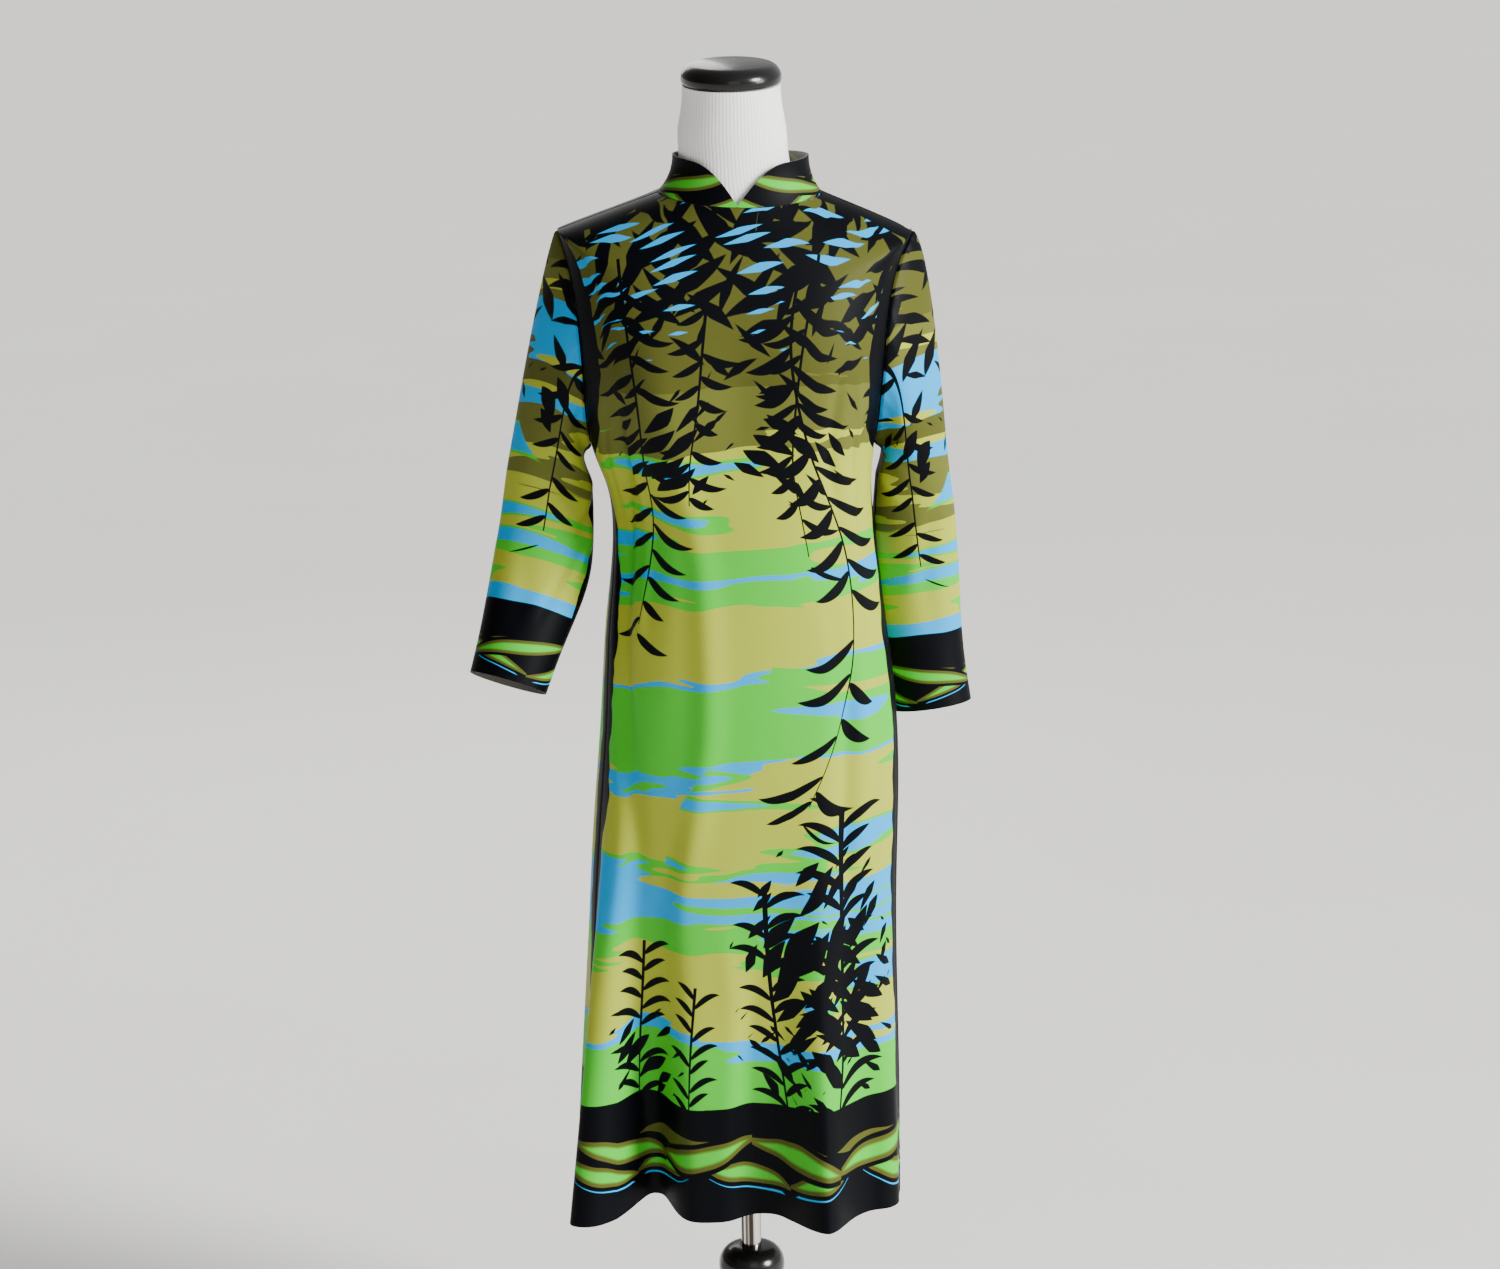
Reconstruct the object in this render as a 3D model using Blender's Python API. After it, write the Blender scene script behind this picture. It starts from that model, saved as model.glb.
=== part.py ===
"""A straight jersey dress with a split stand collar, on a limbless dress form with a turned stand.

Metres, +Z up. The stand's pole runs up the Z axis and the stand's foot rests on Z = 0.
The dress faces -Y, and left means the side at -X.
Every piece of cloth is a closed wall that follows one surface: rings round the body, read
from a table of sections, with folds pushed out or in. Panels are stretches of those rings.
A place round a ring runs from 0 at the right side over 0.25, the centre front, to 0.5 at the
left side, and on over 0.75, the centre back, to 1 at the right side again.
"""
import math

import bmesh
import bpy
import numpy as np
from mathutils import Matrix, Vector

for old in list(bpy.data.objects):
    bpy.data.objects.remove(old, do_unlink=True)

# Driving sizes
CLOTH = 0.0015
COLLAR_CLOTH = 0.0025
SEAM_GAP = 0.0003
LEAN, LEAN_FROM, LEAN_FULL = 0.028, 0.95, 1.25  # the shoulders drop towards +X by this share of x
HEM_RISE, HEM_RISE_TOP = 0.16, 0.60  # a hollow fold lifts the hem by this share of its depth
CENTRE_BACK = 0.75
CENTRE_FRONT_X = 0.0015
SLEEVE_GAP = 0.0005  # from the armhole along the slanting sleeve cap, which leaves 0.3 mm across

# How finely the pieces are cut up
RING_POINTS = 720
# Half the steps over which slopes are measured, round a ring, up the dress, along an arm and
# up the collar
PLACE_STEP, RISE_STEP, ARM_STEP, SHARE_STEP = 0.004, 0.004, 0.01, 0.02
FRONT_COLUMNS = 40
SKIRT_ROWS = 15
ARMHOLE_ROWS = 8
SHOULDER_ROWS = 3
CAP_RINGS = 6
ARM_RINGS = 9
COLLAR_COLUMNS = 14
COLLAR_ROWS = 4
FORM_COLUMNS = 30
TURN_STEPS = 32
ROD_SIDES = 12
SMOOTH_BELOW = math.radians(40)  # edges that bend more than this stay sharp

# Sections of the dress, hem to neckline. level is the ring's height at its sides, left and right
# are its edges there, front and back its depths, square how boxy it is, mid_front and mid_back the
# heights of its middles, and seam_left and seam_right the y of the side seams.
SECTION_NAMES = ("level", "left", "right", "front", "back", "square", "mid_front", "mid_back",
                 "seam_left", "seam_right")
SECTIONS = (
    (0.284, -0.180, 0.164, 0.094, 0.100, 2.90, 0.284, 0.284, -0.040, -0.030),
    (0.440, -0.176, 0.164, 0.097, 0.102, 2.75, 0.440, 0.440, -0.040, -0.030),
    (0.630, -0.167, 0.163, 0.101, 0.106, 2.50, 0.630, 0.630, -0.038, -0.030),
    (0.740, -0.158, 0.166, 0.104, 0.109, 2.40, 0.740, 0.740, -0.036, -0.030),
    (0.840, -0.149, 0.164, 0.107, 0.110, 2.30, 0.840, 0.840, -0.034, -0.028),
    (0.940, -0.141, 0.153, 0.110, 0.103, 2.25, 0.940, 0.940, -0.028, -0.022),
    (1.035, -0.132, 0.143, 0.112, 0.094, 2.20, 1.035, 1.035, -0.016, -0.014),
    (1.080, -0.137, 0.140, 0.114, 0.094, 2.20, 1.080, 1.080, -0.006, -0.006),
    (1.120, -0.151, 0.143, 0.116, 0.097, 2.20, 1.118, 1.119, 0.000, 0.000),
    (1.160, -0.157, 0.147, 0.118, 0.102, 2.25, 1.150, 1.153, 0.000, 0.000),
    (1.240, -0.161, 0.152, 0.118, 0.109, 2.30, 1.206, 1.214, 0.000, 0.000),
    (1.320, -0.172, 0.168, 0.112, 0.106, 2.25, 1.266, 1.288, 0.000, 0.000),
    (1.348, -0.181, 0.185, 0.102, 0.100, 2.15, 1.304, 1.330, 0.000, 0.000),
    (1.368, -0.128, 0.140, 0.084, 0.081, 2.05, 1.346, 1.366, 0.000, 0.000),
    (1.387, -0.077, 0.093, 0.064, 0.062, 2.00, 1.381, 1.397, 0.000, 0.000),
)
ARMPIT_ROW, SHOULDER_ROW = 8, 12
SIDE_COLUMNS = [0, 1, 2]  # these turn a corner at the shoulder ring, and the others don't
# The armhole opens to both sides of the side line, as a power of the sine of its height.
ARMHOLE = {"front": 0.058, "back": 0.060, "power": 0.72}

# Folds of the skirt. place and place_top are where the fold lies at the hem and at its top,
# width is its half width, and out how far it stands out (below 0: in) at the hem.
FOLD_NAMES = ("place", "place_top", "width", "out", "top", "growth", "edge")
FOLDS = (
    (0.425, 0.422, 0.022, 0.048, 0.84, 1.6, 3.4),
    (0.375, 0.380, 0.038, -0.058, 0.88, 1.8, 2.7),
    (0.227, 0.240, 0.036, -0.016, 0.66, 1.4, 3.1),
    (0.163, 0.170, 0.031, 0.046, 0.90, 1.7, 1.7),
    (0.071, 0.078, 0.020, 0.009, 0.70, 1.4, 2.6),
    (0.510, 0.500, 0.028, -0.010, 0.70, 1.3, 2.0),
    (0.570, 0.570, 0.030, 0.026, 0.84, 1.4, 2.0),
    (0.645, 0.650, 0.030, -0.044, 0.86, 1.6, 2.4),
    (0.725, 0.735, 0.032, 0.030, 0.84, 1.4, 2.0),
    (0.800, 0.795, 0.028, -0.036, 0.80, 1.6, 2.2),
    (0.872, 0.860, 0.030, 0.026, 0.86, 1.4, 2.0),
    (0.945, 0.940, 0.026, -0.010, 0.66, 1.3, 2.0),
)
# Soft swells of the upper part: where each lies, its half widths round and up, and its depth.
SWELL_NAMES = ("place", "height", "width", "reach", "out")
SWELLS = (
    (0.152, 1.190, 0.052, 0.090, 0.008),
    (0.348, 1.190, 0.052, 0.090, 0.008),
    (0.250, 1.190, 0.034, 0.070, -0.004),
    (0.352, 1.060, 0.022, 0.110, 0.003),
    (0.390, 1.080, 0.022, 0.110, -0.005),
    (0.108, 1.100, 0.022, 0.090, 0.002),
    (0.072, 1.110, 0.022, 0.090, -0.004),
    (0.250, 0.820, 0.110, 0.130, 0.003),
    (0.660, 1.230, 0.060, 0.090, 0.005),
    (0.840, 1.230, 0.060, 0.090, 0.005),
    (0.750, 1.060, 0.035, 0.100, -0.005),
)

# Rings of each sleeve below the armpit: the centre of each, and its half width and half depth.
ARM_NAMES = ("x", "y", "z", "half_width", "half_depth")
ARMS = {
    "left": (
        (-0.1965, 0.002, 1.085, 0.0455, 0.034),
        (-0.2005, -0.001, 1.040, 0.0490, 0.035),
        (-0.2070, -0.008, 1.000, 0.0515, 0.036),
        (-0.2195, -0.021, 0.960, 0.0485, 0.036),
        (-0.2335, -0.037, 0.921, 0.0440, 0.036),
        (-0.2466, -0.052, 0.884, 0.0415, 0.035),
    ),
    "right": (
        (0.1848, 0.011, 1.080, 0.0392, 0.034),
        (0.1868, 0.027, 1.035, 0.0432, 0.034),
        (0.1895, 0.043, 0.990, 0.0450, 0.034),
        (0.1950, 0.052, 0.935, 0.0440, 0.034),
        (0.2007, 0.053, 0.875, 0.0423, 0.034),
        (0.2075, 0.048, 0.817, 0.0430, 0.034),
    ),
}
# How the sleeve leaves the shoulder point and the armpit (outwards, up), and for how long.
CAP_OUT, CAP_PULL = (0.80, -0.30), {"left": 0.035, "right": 0.080}
PIT_OUT, PIT_PULL = (0.95, -0.30), 0.50
ARM_PULL = 0.80

# Collar: the oval of its full height, and how its edge rises from the split at the centre front.
COLLAR_TOP = {"left": -0.0610, "right": 0.0795, "front": 0.0545, "back": 0.054, "square": 2.0,
              "level": 1.4265, "mid_front": 1.4225, "mid_back": 1.4225}
COLLAR_SPLIT = 0.062  # its edge reaches full height this far from the split
COLLAR_LOW = 0.06  # the share of that height at the split
COLLAR_CROWDING = 1.35  # the columns crowd towards the split by this power
COLLAR_FLARE = 2.2  # the foot of the collar flares: its way inwards lies mostly in its lower part

# Dress form: the torso's rings, then rings just under the dress's shoulders, then the neck.
FORM_NAMES = ("level", "left", "right", "front", "back", "square", "mid_front", "mid_back")
FORM = (
    (0.715, -0.130, 0.139, 0.084, 0.088, 2.20, 0.715, 0.715),
    (0.740, -0.136, 0.145, 0.088, 0.093, 2.20, 0.740, 0.740),
    (0.840, -0.134, 0.147, 0.090, 0.098, 2.20, 0.840, 0.840),
    (0.940, -0.124, 0.134, 0.084, 0.088, 2.15, 0.940, 0.940),
    (1.030, -0.112, 0.121, 0.078, 0.076, 2.10, 1.030, 1.030),
    (1.120, -0.130, 0.126, 0.095, 0.086, 2.15, 1.119, 1.119),
    (1.200, -0.140, 0.132, 0.106, 0.096, 2.20, 1.180, 1.188),
    (1.290, -0.148, 0.144, 0.098, 0.096, 2.20, 1.245, 1.264),
)
# The share of the way from the shoulder ring to the neckline, and the gap to the cloth's inside.
SHOULDER_RINGS = ((0.20, 0.0040), (0.44, 0.0004), (0.66, 0.0004), (0.92, 0.0045))
NECK_NAMES = ("level", "centre", "half_width", "half_depth")
NECK = (
    (1.3920, 0.0050, 0.0690, 0.0530),
    (1.4040, 0.0030, 0.0620, 0.0500),
    (1.4230, 0.0020, 0.0568, 0.0485),
    (1.4500, 0.0010, 0.0560, 0.0500),
    (1.4800, 0.0010, 0.0515, 0.0505),
    (1.4985, 0.0010, 0.0505, 0.0500),
)
CAP_TILT = math.radians(2.4)
# Half profiles, as radius and height, from the middle of the underside to the middle of the top
CAP_PROFILE = (
    (0.0000, 0.0000), (0.0470, 0.0000), (0.0505, 0.0018), (0.0518, 0.0060), (0.0512, 0.0110),
    (0.0485, 0.0160), (0.0445, 0.0195), (0.0400, 0.0210), (0.0000, 0.0216),
)
STAND_PROFILE = (
    (0.000, 0.000), (0.150, 0.000), (0.1555, 0.004), (0.157, 0.010), (0.1545, 0.017),
    (0.148, 0.022), (0.128, 0.027), (0.098, 0.035), (0.072, 0.046), (0.052, 0.062),
    (0.040, 0.082), (0.033, 0.104), (0.029, 0.128), (0.027, 0.145), (0.0335, 0.150),
    (0.0355, 0.157), (0.0335, 0.165), (0.0285, 0.1705), (0.0272, 0.1745), (0.0285, 0.1785),
    (0.0335, 0.184), (0.0360, 0.1925), (0.0355, 0.2005), (0.0320, 0.2085), (0.0260, 0.2140),
    (0.0130, 0.2165), (0.000, 0.2165),
)
POLE_RADIUS = 0.011

# Zip: a slider at the top of the centre back, with two lugs and a pin, and its pull tab.
ZIP_ROWS = (1, 2)  # the slider sits midway between these rows of the shoulders, on their straight
ZIP_CLEAR = 0.0004
SLIDER = {"width": 0.0066, "length": 0.0100, "depth": 0.0022}
LUG = {"width": 0.0012, "length": 0.0040, "height": 0.0038, "apart": 0.0052, "sunk": 0.0002}
PIN = {"radius": 0.0006, "up": 0.0022, "along": 0.0015}
TAB = {"width": 0.0034, "length": 0.0190, "depth": 0.0012, "eye": 0.0010, "knuckle": 0.0018,
       "tilt": math.radians(9)}


def material(name, colour, roughness, metallic=0.0):
    made = bpy.data.materials.new(name)
    made.use_nodes = True
    shader = made.node_tree.nodes["Principled BSDF"]
    shader.inputs["Base Color"].default_value = (*colour, 1.0)
    shader.inputs["Roughness"].default_value = roughness
    shader.inputs["Metallic"].default_value = metallic
    return made


PRINT = material("printed jersey", (0.42, 0.40, 0.12), 0.5)
BORDER = material("dark border jersey", (0.10, 0.14, 0.05), 0.5)
KNIT = material("white knit cover", (0.80, 0.80, 0.78), 0.8)
LACQUER = material("black lacquered wood", (0.010, 0.010, 0.012), 0.12)
CHROME = material("chromed steel", (0.75, 0.76, 0.78), 0.15, 1.0)
ZIP_METAL = material("nickel zip metal", (0.55, 0.54, 0.50), 0.3, 1.0)


def smoothstep(low, high, value):
    t = np.clip((value - low) / (high - low), 0.0, 1.0)
    return t * t * (3 - 2 * t)


class Table:
    """Reads between a table's rows with a smooth cubic curve, spaced by some of its columns.

    The cornered columns may turn a corner at one row, which leaves them straight beside it.
    """

    def __init__(self, rows, spacing, corner=None, cornered=()):
        self.values = np.array(rows, dtype=float)
        steps = np.linalg.norm(np.diff(self.values[:, spacing], axis=0), axis=1)
        self.knots = np.concatenate([[0], np.cumsum(steps)])
        count = len(self.knots)
        bend = np.eye(count)
        pull = np.zeros_like(self.values)
        for k in range(1, count - 1):
            before, after = steps[k - 1], steps[k]
            bend[k, k - 1:k + 2] = before, 2 * (before + after), after
            pull[k] = 6 * ((self.values[k + 1] - self.values[k]) / after
                           - (self.values[k] - self.values[k - 1]) / before)
        self.bends = np.linalg.solve(bend, pull)
        if corner is not None:
            bend[corner] = np.eye(count)[corner]
            pull[corner] = 0
            self.bends[:, cornered] = np.linalg.solve(bend, pull)[:, cornered]

    def at(self, rise):
        """The row at a rise along the curve, which runs from 0 to the last knot."""
        rise = float(np.clip(rise, 0, self.knots[-1]))
        k = min(int(np.searchsorted(self.knots, rise, side="right")) - 1, len(self.knots) - 2)
        step = self.knots[k + 1] - self.knots[k]
        b = (rise - self.knots[k]) / step
        a = 1 - b
        return (a * self.values[k] + b * self.values[k + 1]
                + ((a ** 3 - a) * self.bends[k] + (b ** 3 - b) * self.bends[k + 1]) * step ** 2 / 6)


DRESS = Table(SECTIONS, [0, 1, 2, 3], SHOULDER_ROW, SIDE_COLUMNS)
ARMPIT, SHOULDER, NECKLINE = DRESS.knots[ARMPIT_ROW], DRESS.knots[SHOULDER_ROW], DRESS.knots[-1]
TURNS = np.linspace(0, 2 * np.pi, RING_POINTS + 1)


def oval(part):
    """A ring's points: a boxy ellipse whose front and back halves differ."""
    power = 2 / part["square"]
    across, deep = np.cos(TURNS), np.sin(TURNS)
    centre = (part["left"] + part["right"]) / 2
    half = (part["right"] - part["left"]) / 2
    x = centre + half * np.sign(across) * np.abs(across) ** power
    y = np.where(deep > 0, -part["front"], part["back"]) * np.abs(deep) ** power
    middle = np.where(deep > 0, part["mid_front"], part["mid_back"])
    z = part["level"] + (middle - part["level"]) * deep ** 2
    return np.stack([x, y, z], axis=1)


def places_round(points):
    """The place of each point of a ring, and the ring's length."""
    length = np.concatenate([[0], np.cumsum(np.linalg.norm(np.diff(points, axis=0), axis=1))])
    half = RING_POINTS // 2
    front = 0.5 * length / length[half]
    back = 0.5 + 0.5 * (length - length[half]) / (length[-1] - length[half])
    return np.where(np.arange(RING_POINTS + 1) <= half, front, back), length[-1]


def read_round(place, places, points):
    """The points at some places of a ring."""
    wrapped = np.asarray(place) % 1.0
    return np.stack([np.interp(wrapped, places, points[:, k]) for k in range(3)], axis=1)


def relief(place, height):
    """How far the cloth stands out of its ring: the skirt's folds and the upper part's swells."""
    out = np.zeros_like(place)
    for row in FOLDS:
        fold = dict(zip(FOLD_NAMES, row))
        share = np.clip((fold["top"] - height) / (fold["top"] - SECTIONS[0][0]), 0, 1)
        middle = fold["place"] * share + fold["place_top"] * (1 - share)
        away = (place - middle + 0.5) % 1.0 - 0.5
        out += fold["out"] * share ** fold["growth"] * np.exp(-np.abs(away / fold["width"]) ** fold["edge"])
    for row in SWELLS:
        swell = dict(zip(SWELL_NAMES, row))
        away = (place - swell["place"] + 0.5) % 1.0 - 0.5
        off = (height - swell["height"]) / swell["reach"]
        out += swell["out"] * np.exp(-(away / swell["width"]) ** 2 - off ** 2)
    return out


def armhole_cut(rise, face):
    """How far in front of the side line, or behind it, the armhole's edge lies."""
    share = np.clip((rise - ARMPIT) / (SHOULDER - ARMPIT), 0, 1)
    return ARMHOLE[face] * math.sin(math.pi * share) ** ARMHOLE["power"]


def lean(points):
    """The drop of the shoulders towards one side."""
    return LEAN * points[:, 0] * smoothstep(LEAN_FROM, LEAN_FULL, points[:, 2])


def ring(rise):
    """One ring of the dress: the places of its points, the points, its length and its section."""
    part = dict(zip(SECTION_NAMES, DRESS.at(rise)))
    centre = (part["left"] + part["right"]) / 2
    opened = (1 - (armhole_cut(rise, "front") / part["front"]) ** part["square"]) ** (1 / part["square"])
    part["left"] = centre + (part["left"] - centre) / opened
    part["right"] = centre + (part["right"] - centre) / opened
    points = oval(part)
    places, size = places_round(points)
    along = np.gradient(points, axis=0)
    along[0] = along[-1] = points[1] - points[-2]
    outwards = np.stack([-along[:, 1], along[:, 0], np.zeros(len(along))], axis=1)
    outwards /= np.linalg.norm(outwards, axis=1)[:, None] + 1e-12
    out = relief(places, points[:, 2])
    points = points + outwards * out[:, None]
    fade = 1 - smoothstep(part["level"], HEM_RISE_TOP, points[:, 2])
    points[:, 2] += HEM_RISE * np.maximum(-out, 0) * fade - lean(points)
    return places, points, size, part


def on_ring(rise, place):
    places, points, _, _ = ring(rise)
    return read_round(place, places, points)


def facing(rise, place):
    """The dress's outward direction at some places of a ring."""
    ahead = on_ring(rise, place + PLACE_STEP) - on_ring(rise, place - PLACE_STEP)
    up = on_ring(min(rise + RISE_STEP, NECKLINE), place) - on_ring(max(rise - RISE_STEP, 0), place)
    out = np.cross(up, ahead)
    return out / np.linalg.norm(out, axis=1)[:, None]


def edge_place(rise, side, face):
    """Where round the ring a panel ends: at the side seam, the armhole or the shoulder seam."""
    places, _, size, part = ring(rise)
    cut = armhole_cut(rise, face)
    y = part["seam_" + side] + (-cut if face == "front" else cut)
    if rise >= ARMPIT:
        y = -cut if face == "front" else cut
    deep = part["front"] if y < 0 else part["back"]
    turn = math.asin(min(1.0, (abs(y) / deep) ** (part["square"] / 2))) * (1 if y < 0 else -1)
    if side == "left":
        turn = math.pi - turn
    at = np.interp(turn % (2 * math.pi), TURNS, places)
    if side == "right" and face == "front" and at > 0.5:
        at -= 1
    if side == "right" and face == "back" and at < 0.5:
        at += 1
    in_front = 1 if face == "front" else -1
    return at + (-1 if side == "left" else 1) * in_front * SEAM_GAP / 2 / size


def dress_rises(skirt_rows, armhole_rows, shoulder_rows):
    """The rises of a panel's rows, close together at both ends of the armhole."""
    skirt = np.linspace(0, ARMPIT, skirt_rows + 1)
    turn = np.linspace(0, math.pi, armhole_rows + 1)[1:]
    armhole = ARMPIT + (SHOULDER - ARMPIT) * (1 - np.cos(turn)) / 2
    shoulder = np.linspace(SHOULDER, NECKLINE, shoulder_rows + 1)[1:]
    return np.concatenate([skirt, armhole, shoulder])


def panel_grid(first, last, columns):
    """Points and outward directions of a panel, between two functions that give its edges' places."""
    points, outs = [], []
    for rise in dress_rises(SKIRT_ROWS, ARMHOLE_ROWS, SHOULDER_ROWS):
        places = np.linspace(first(rise), last(rise), columns + 1)
        points.append(on_ring(rise, places))
        outs.append(facing(rise, places))
    return np.array(points), np.array(outs)


def solid(name, vertices, faces, look):
    """An object from a closed mesh, its faces turned outwards and its round stretches smooth."""
    mesh = bpy.data.meshes.new(name)
    mesh.from_pydata([tuple(p) for p in vertices], [], faces)
    shape = bmesh.new()
    shape.from_mesh(mesh)
    bmesh.ops.recalc_face_normals(shape, faces=shape.faces)
    shape.to_mesh(mesh)
    shape.free()
    mesh.shade_smooth()
    mesh.set_sharp_from_angle(angle=SMOOTH_BELOW)
    mesh.materials.append(look)
    piece = bpy.data.objects.new(name, mesh)
    bpy.context.scene.collection.objects.link(piece)
    return piece


def wall(name, outer, outs, thickness, look, closed=False):
    """A closed wall: an outer grid, the same grid moved in by the thickness, and rims between."""
    rows, columns = outer.shape[:2]
    count = rows * columns
    vertices = np.concatenate([outer.reshape(-1, 3), (outer - outs * thickness).reshape(-1, 3)])

    def at(r, c, layer):
        return layer * count + r * columns + c % columns

    faces = []
    spans = columns if closed else columns - 1
    for c in range(spans):
        for r in range(rows - 1):
            quad = [at(r, c, 0), at(r, c + 1, 0), at(r + 1, c + 1, 0), at(r + 1, c, 0)]
            faces.append(quad)
            faces.append([corner + count for corner in reversed(quad)])
        for r in (0, rows - 1):
            faces.append([at(r, c, 0), at(r, c + 1, 0), at(r, c + 1, 1), at(r, c, 1)])
    for c in () if closed else (0, columns - 1):
        for r in range(rows - 1):
            faces.append([at(r, c, 0), at(r + 1, c, 0), at(r + 1, c, 1), at(r, c, 1)])
    return solid(name, vertices, faces, look)


def make_front():
    points, outs = panel_grid(lambda rise: edge_place(rise, "right", "front"),
                              lambda rise: edge_place(rise, "left", "front"), FRONT_COLUMNS)
    wall("front", points, outs, CLOTH, PRINT)


def make_back(side):
    def seam(rise):
        return CENTRE_BACK + (-1 if side == "left" else 1) * SEAM_GAP / 2 / ring(rise)[2]

    points, outs = panel_grid(lambda rise: edge_place(rise, side, "back"), seam, FRONT_COLUMNS // 2)
    wall("back_" + side, points, outs, CLOTH, PRINT)


def arm_ring(table, side, rise, around):
    """Points round the arm, from the underarm up its front, and the arm's direction."""
    here = dict(zip(ARM_NAMES, table.at(rise)))
    down = table.at(rise + ARM_STEP)[:3] - table.at(rise - ARM_STEP)[:3]
    down /= np.linalg.norm(down)
    out = np.array([-1.0 if side == "left" else 1.0, 0, 0])
    across = out - down * (out @ down)
    across /= np.linalg.norm(across)
    ahead = np.cross(down, across)
    ahead *= -np.sign(ahead[1])
    centre = np.array([here["x"], here["y"], here["z"]])
    points = (centre - across * here["half_width"] * np.cos(around)[:, None]
              + ahead * here["half_depth"] * np.sin(around)[:, None])
    return points, down


def sleeve_grid(side, armhole_rows, cap_rings, arm_rings):
    """Rings from the armhole over the sleeve cap to the armpit, then down the arm to the cuff."""
    sign = -1.0 if side == "left" else 1.0
    turn = np.linspace(0, math.pi, armhole_rows + 1)
    rises = ARMPIT + (SHOULDER - ARMPIT) * (1 - np.cos(turn)) / 2
    seam = np.array([on_ring(rise, [edge_place(rise, side, face)])[0]
                     for face, run in (("front", rises), ("back", rises[-2:0:-1])) for rise in run])
    share = np.concatenate([turn, turn[-2:0:-1]]) / math.pi
    table = Table(ARMS[side], [0, 1, 2])
    around = np.linspace(0, 2 * np.pi, len(seam), endpoint=False)
    first, down = arm_ring(table, side, 0, around)
    share = share[:, None]
    leave = ((1 - share) * np.array([sign * PIT_OUT[0], 0, PIT_OUT[1]])
             + share * np.array([sign * CAP_OUT[0], 0, CAP_OUT[1]]))
    leave /= np.linalg.norm(leave, axis=1)[:, None]
    start = seam + leave * SLEEVE_GAP
    way = first - start
    reach = np.linalg.norm(way, axis=1)[:, None]
    arrive = (down + way / reach) / 2
    pull = PIT_PULL * (1 - share) ** 2 + CAP_PULL[side] * share
    rings = []
    for t in np.linspace(0, 1, cap_rings + 1)[:-1]:
        rings.append(start * (1 + 2 * t) * (1 - t) ** 2 + first * t ** 2 * (3 - 2 * t)
                     + 3 * pull * reach * leave * t * (1 - t) ** 2
                     + ARM_PULL * reach * arrive * t ** 2 * (t - 1))
    for rise in np.linspace(0, table.knots[-1], arm_rings + 1):
        rings.append(arm_ring(table, side, rise, around)[0])
    points = np.array(rings)
    ahead = np.roll(points, -1, axis=1) - np.roll(points, 1, axis=1)
    outs = np.cross(np.gradient(points, axis=0), ahead) * sign
    return points, outs / np.linalg.norm(outs, axis=2)[:, :, None]


def make_sleeve(side):
    points, outs = sleeve_grid(side, ARMHOLE_ROWS, CAP_RINGS, ARM_RINGS)
    wall("sleeve_" + side, points, outs, CLOTH, PRINT, closed=True)


def collar_lines(places):
    """The collar's foot, on the neckline, and the line of its full height above it."""
    foot = on_ring(NECKLINE, places)
    whole = oval(COLLAR_TOP)
    top = read_round(places, places_round(whole)[0], whole)
    top[:, 2] -= LEAN * top[:, 0]
    return foot, top


def collar_point(foot, top, share):
    """A point of the collar between its foot and its full height, on a profile that flares below."""
    inwards = 1 - np.maximum(1 - share, 0) ** COLLAR_FLARE
    point = foot + (top - foot) * inwards
    point[..., 2] = foot[..., 2] + (top[..., 2] - foot[..., 2]) * share[..., 0]
    return point


def collar_grid(side, columns, rows):
    """The collar's outer face, from the split at the centre front round to the centre back."""
    places, points, size, _ = ring(NECKLINE)
    half = RING_POINTS // 2
    start = float(np.interp(-CENTRE_FRONT_X, -points[:half, 0], places[:half]))
    sign = 1 if side == "left" else -1
    end = CENTRE_BACK if side == "left" else CENTRE_BACK - 1
    gap = sign * SEAM_GAP / 2 / size
    along = start + gap + (end - start - 2 * gap) * np.linspace(0, 1, columns + 1) ** COLLAR_CROWDING
    away = np.minimum(np.abs(along - start) * size, COLLAR_SPLIT)
    rise = COLLAR_LOW + (1 - COLLAR_LOW) * (1 - (1 - away / COLLAR_SPLIT) ** 2)
    low = SEAM_GAP * 2 / (COLLAR_TOP["level"] - SECTIONS[-1][0])
    share = (low + np.linspace(0, 1, rows + 1)[:, None] * (rise - low))[:, :, None]
    outer = collar_point(*collar_lines(along), share)
    ahead = (collar_point(*collar_lines(along + PLACE_STEP), share)
             - collar_point(*collar_lines(along - PLACE_STEP), share))
    up = (collar_point(*collar_lines(along), share + SHARE_STEP)
          - collar_point(*collar_lines(along), np.maximum(share - SHARE_STEP, 0)))
    outs = np.cross(up, ahead)
    return outer, outs / np.linalg.norm(outs, axis=2)[:, :, None]


def make_collar(side):
    points, outs = collar_grid(side, COLLAR_COLUMNS, COLLAR_ROWS)
    wall("collar_" + side, points, outs, COLLAR_CLOTH, BORDER)


def form_ring(part, leaning):
    """A ring of the form, from a section with the names of an oval."""
    whole = oval(part)
    points = read_round(np.arange(FORM_COLUMNS) / FORM_COLUMNS, places_round(whole)[0], whole)
    points[:, 2] -= lean(points) * leaning
    return points


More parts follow.
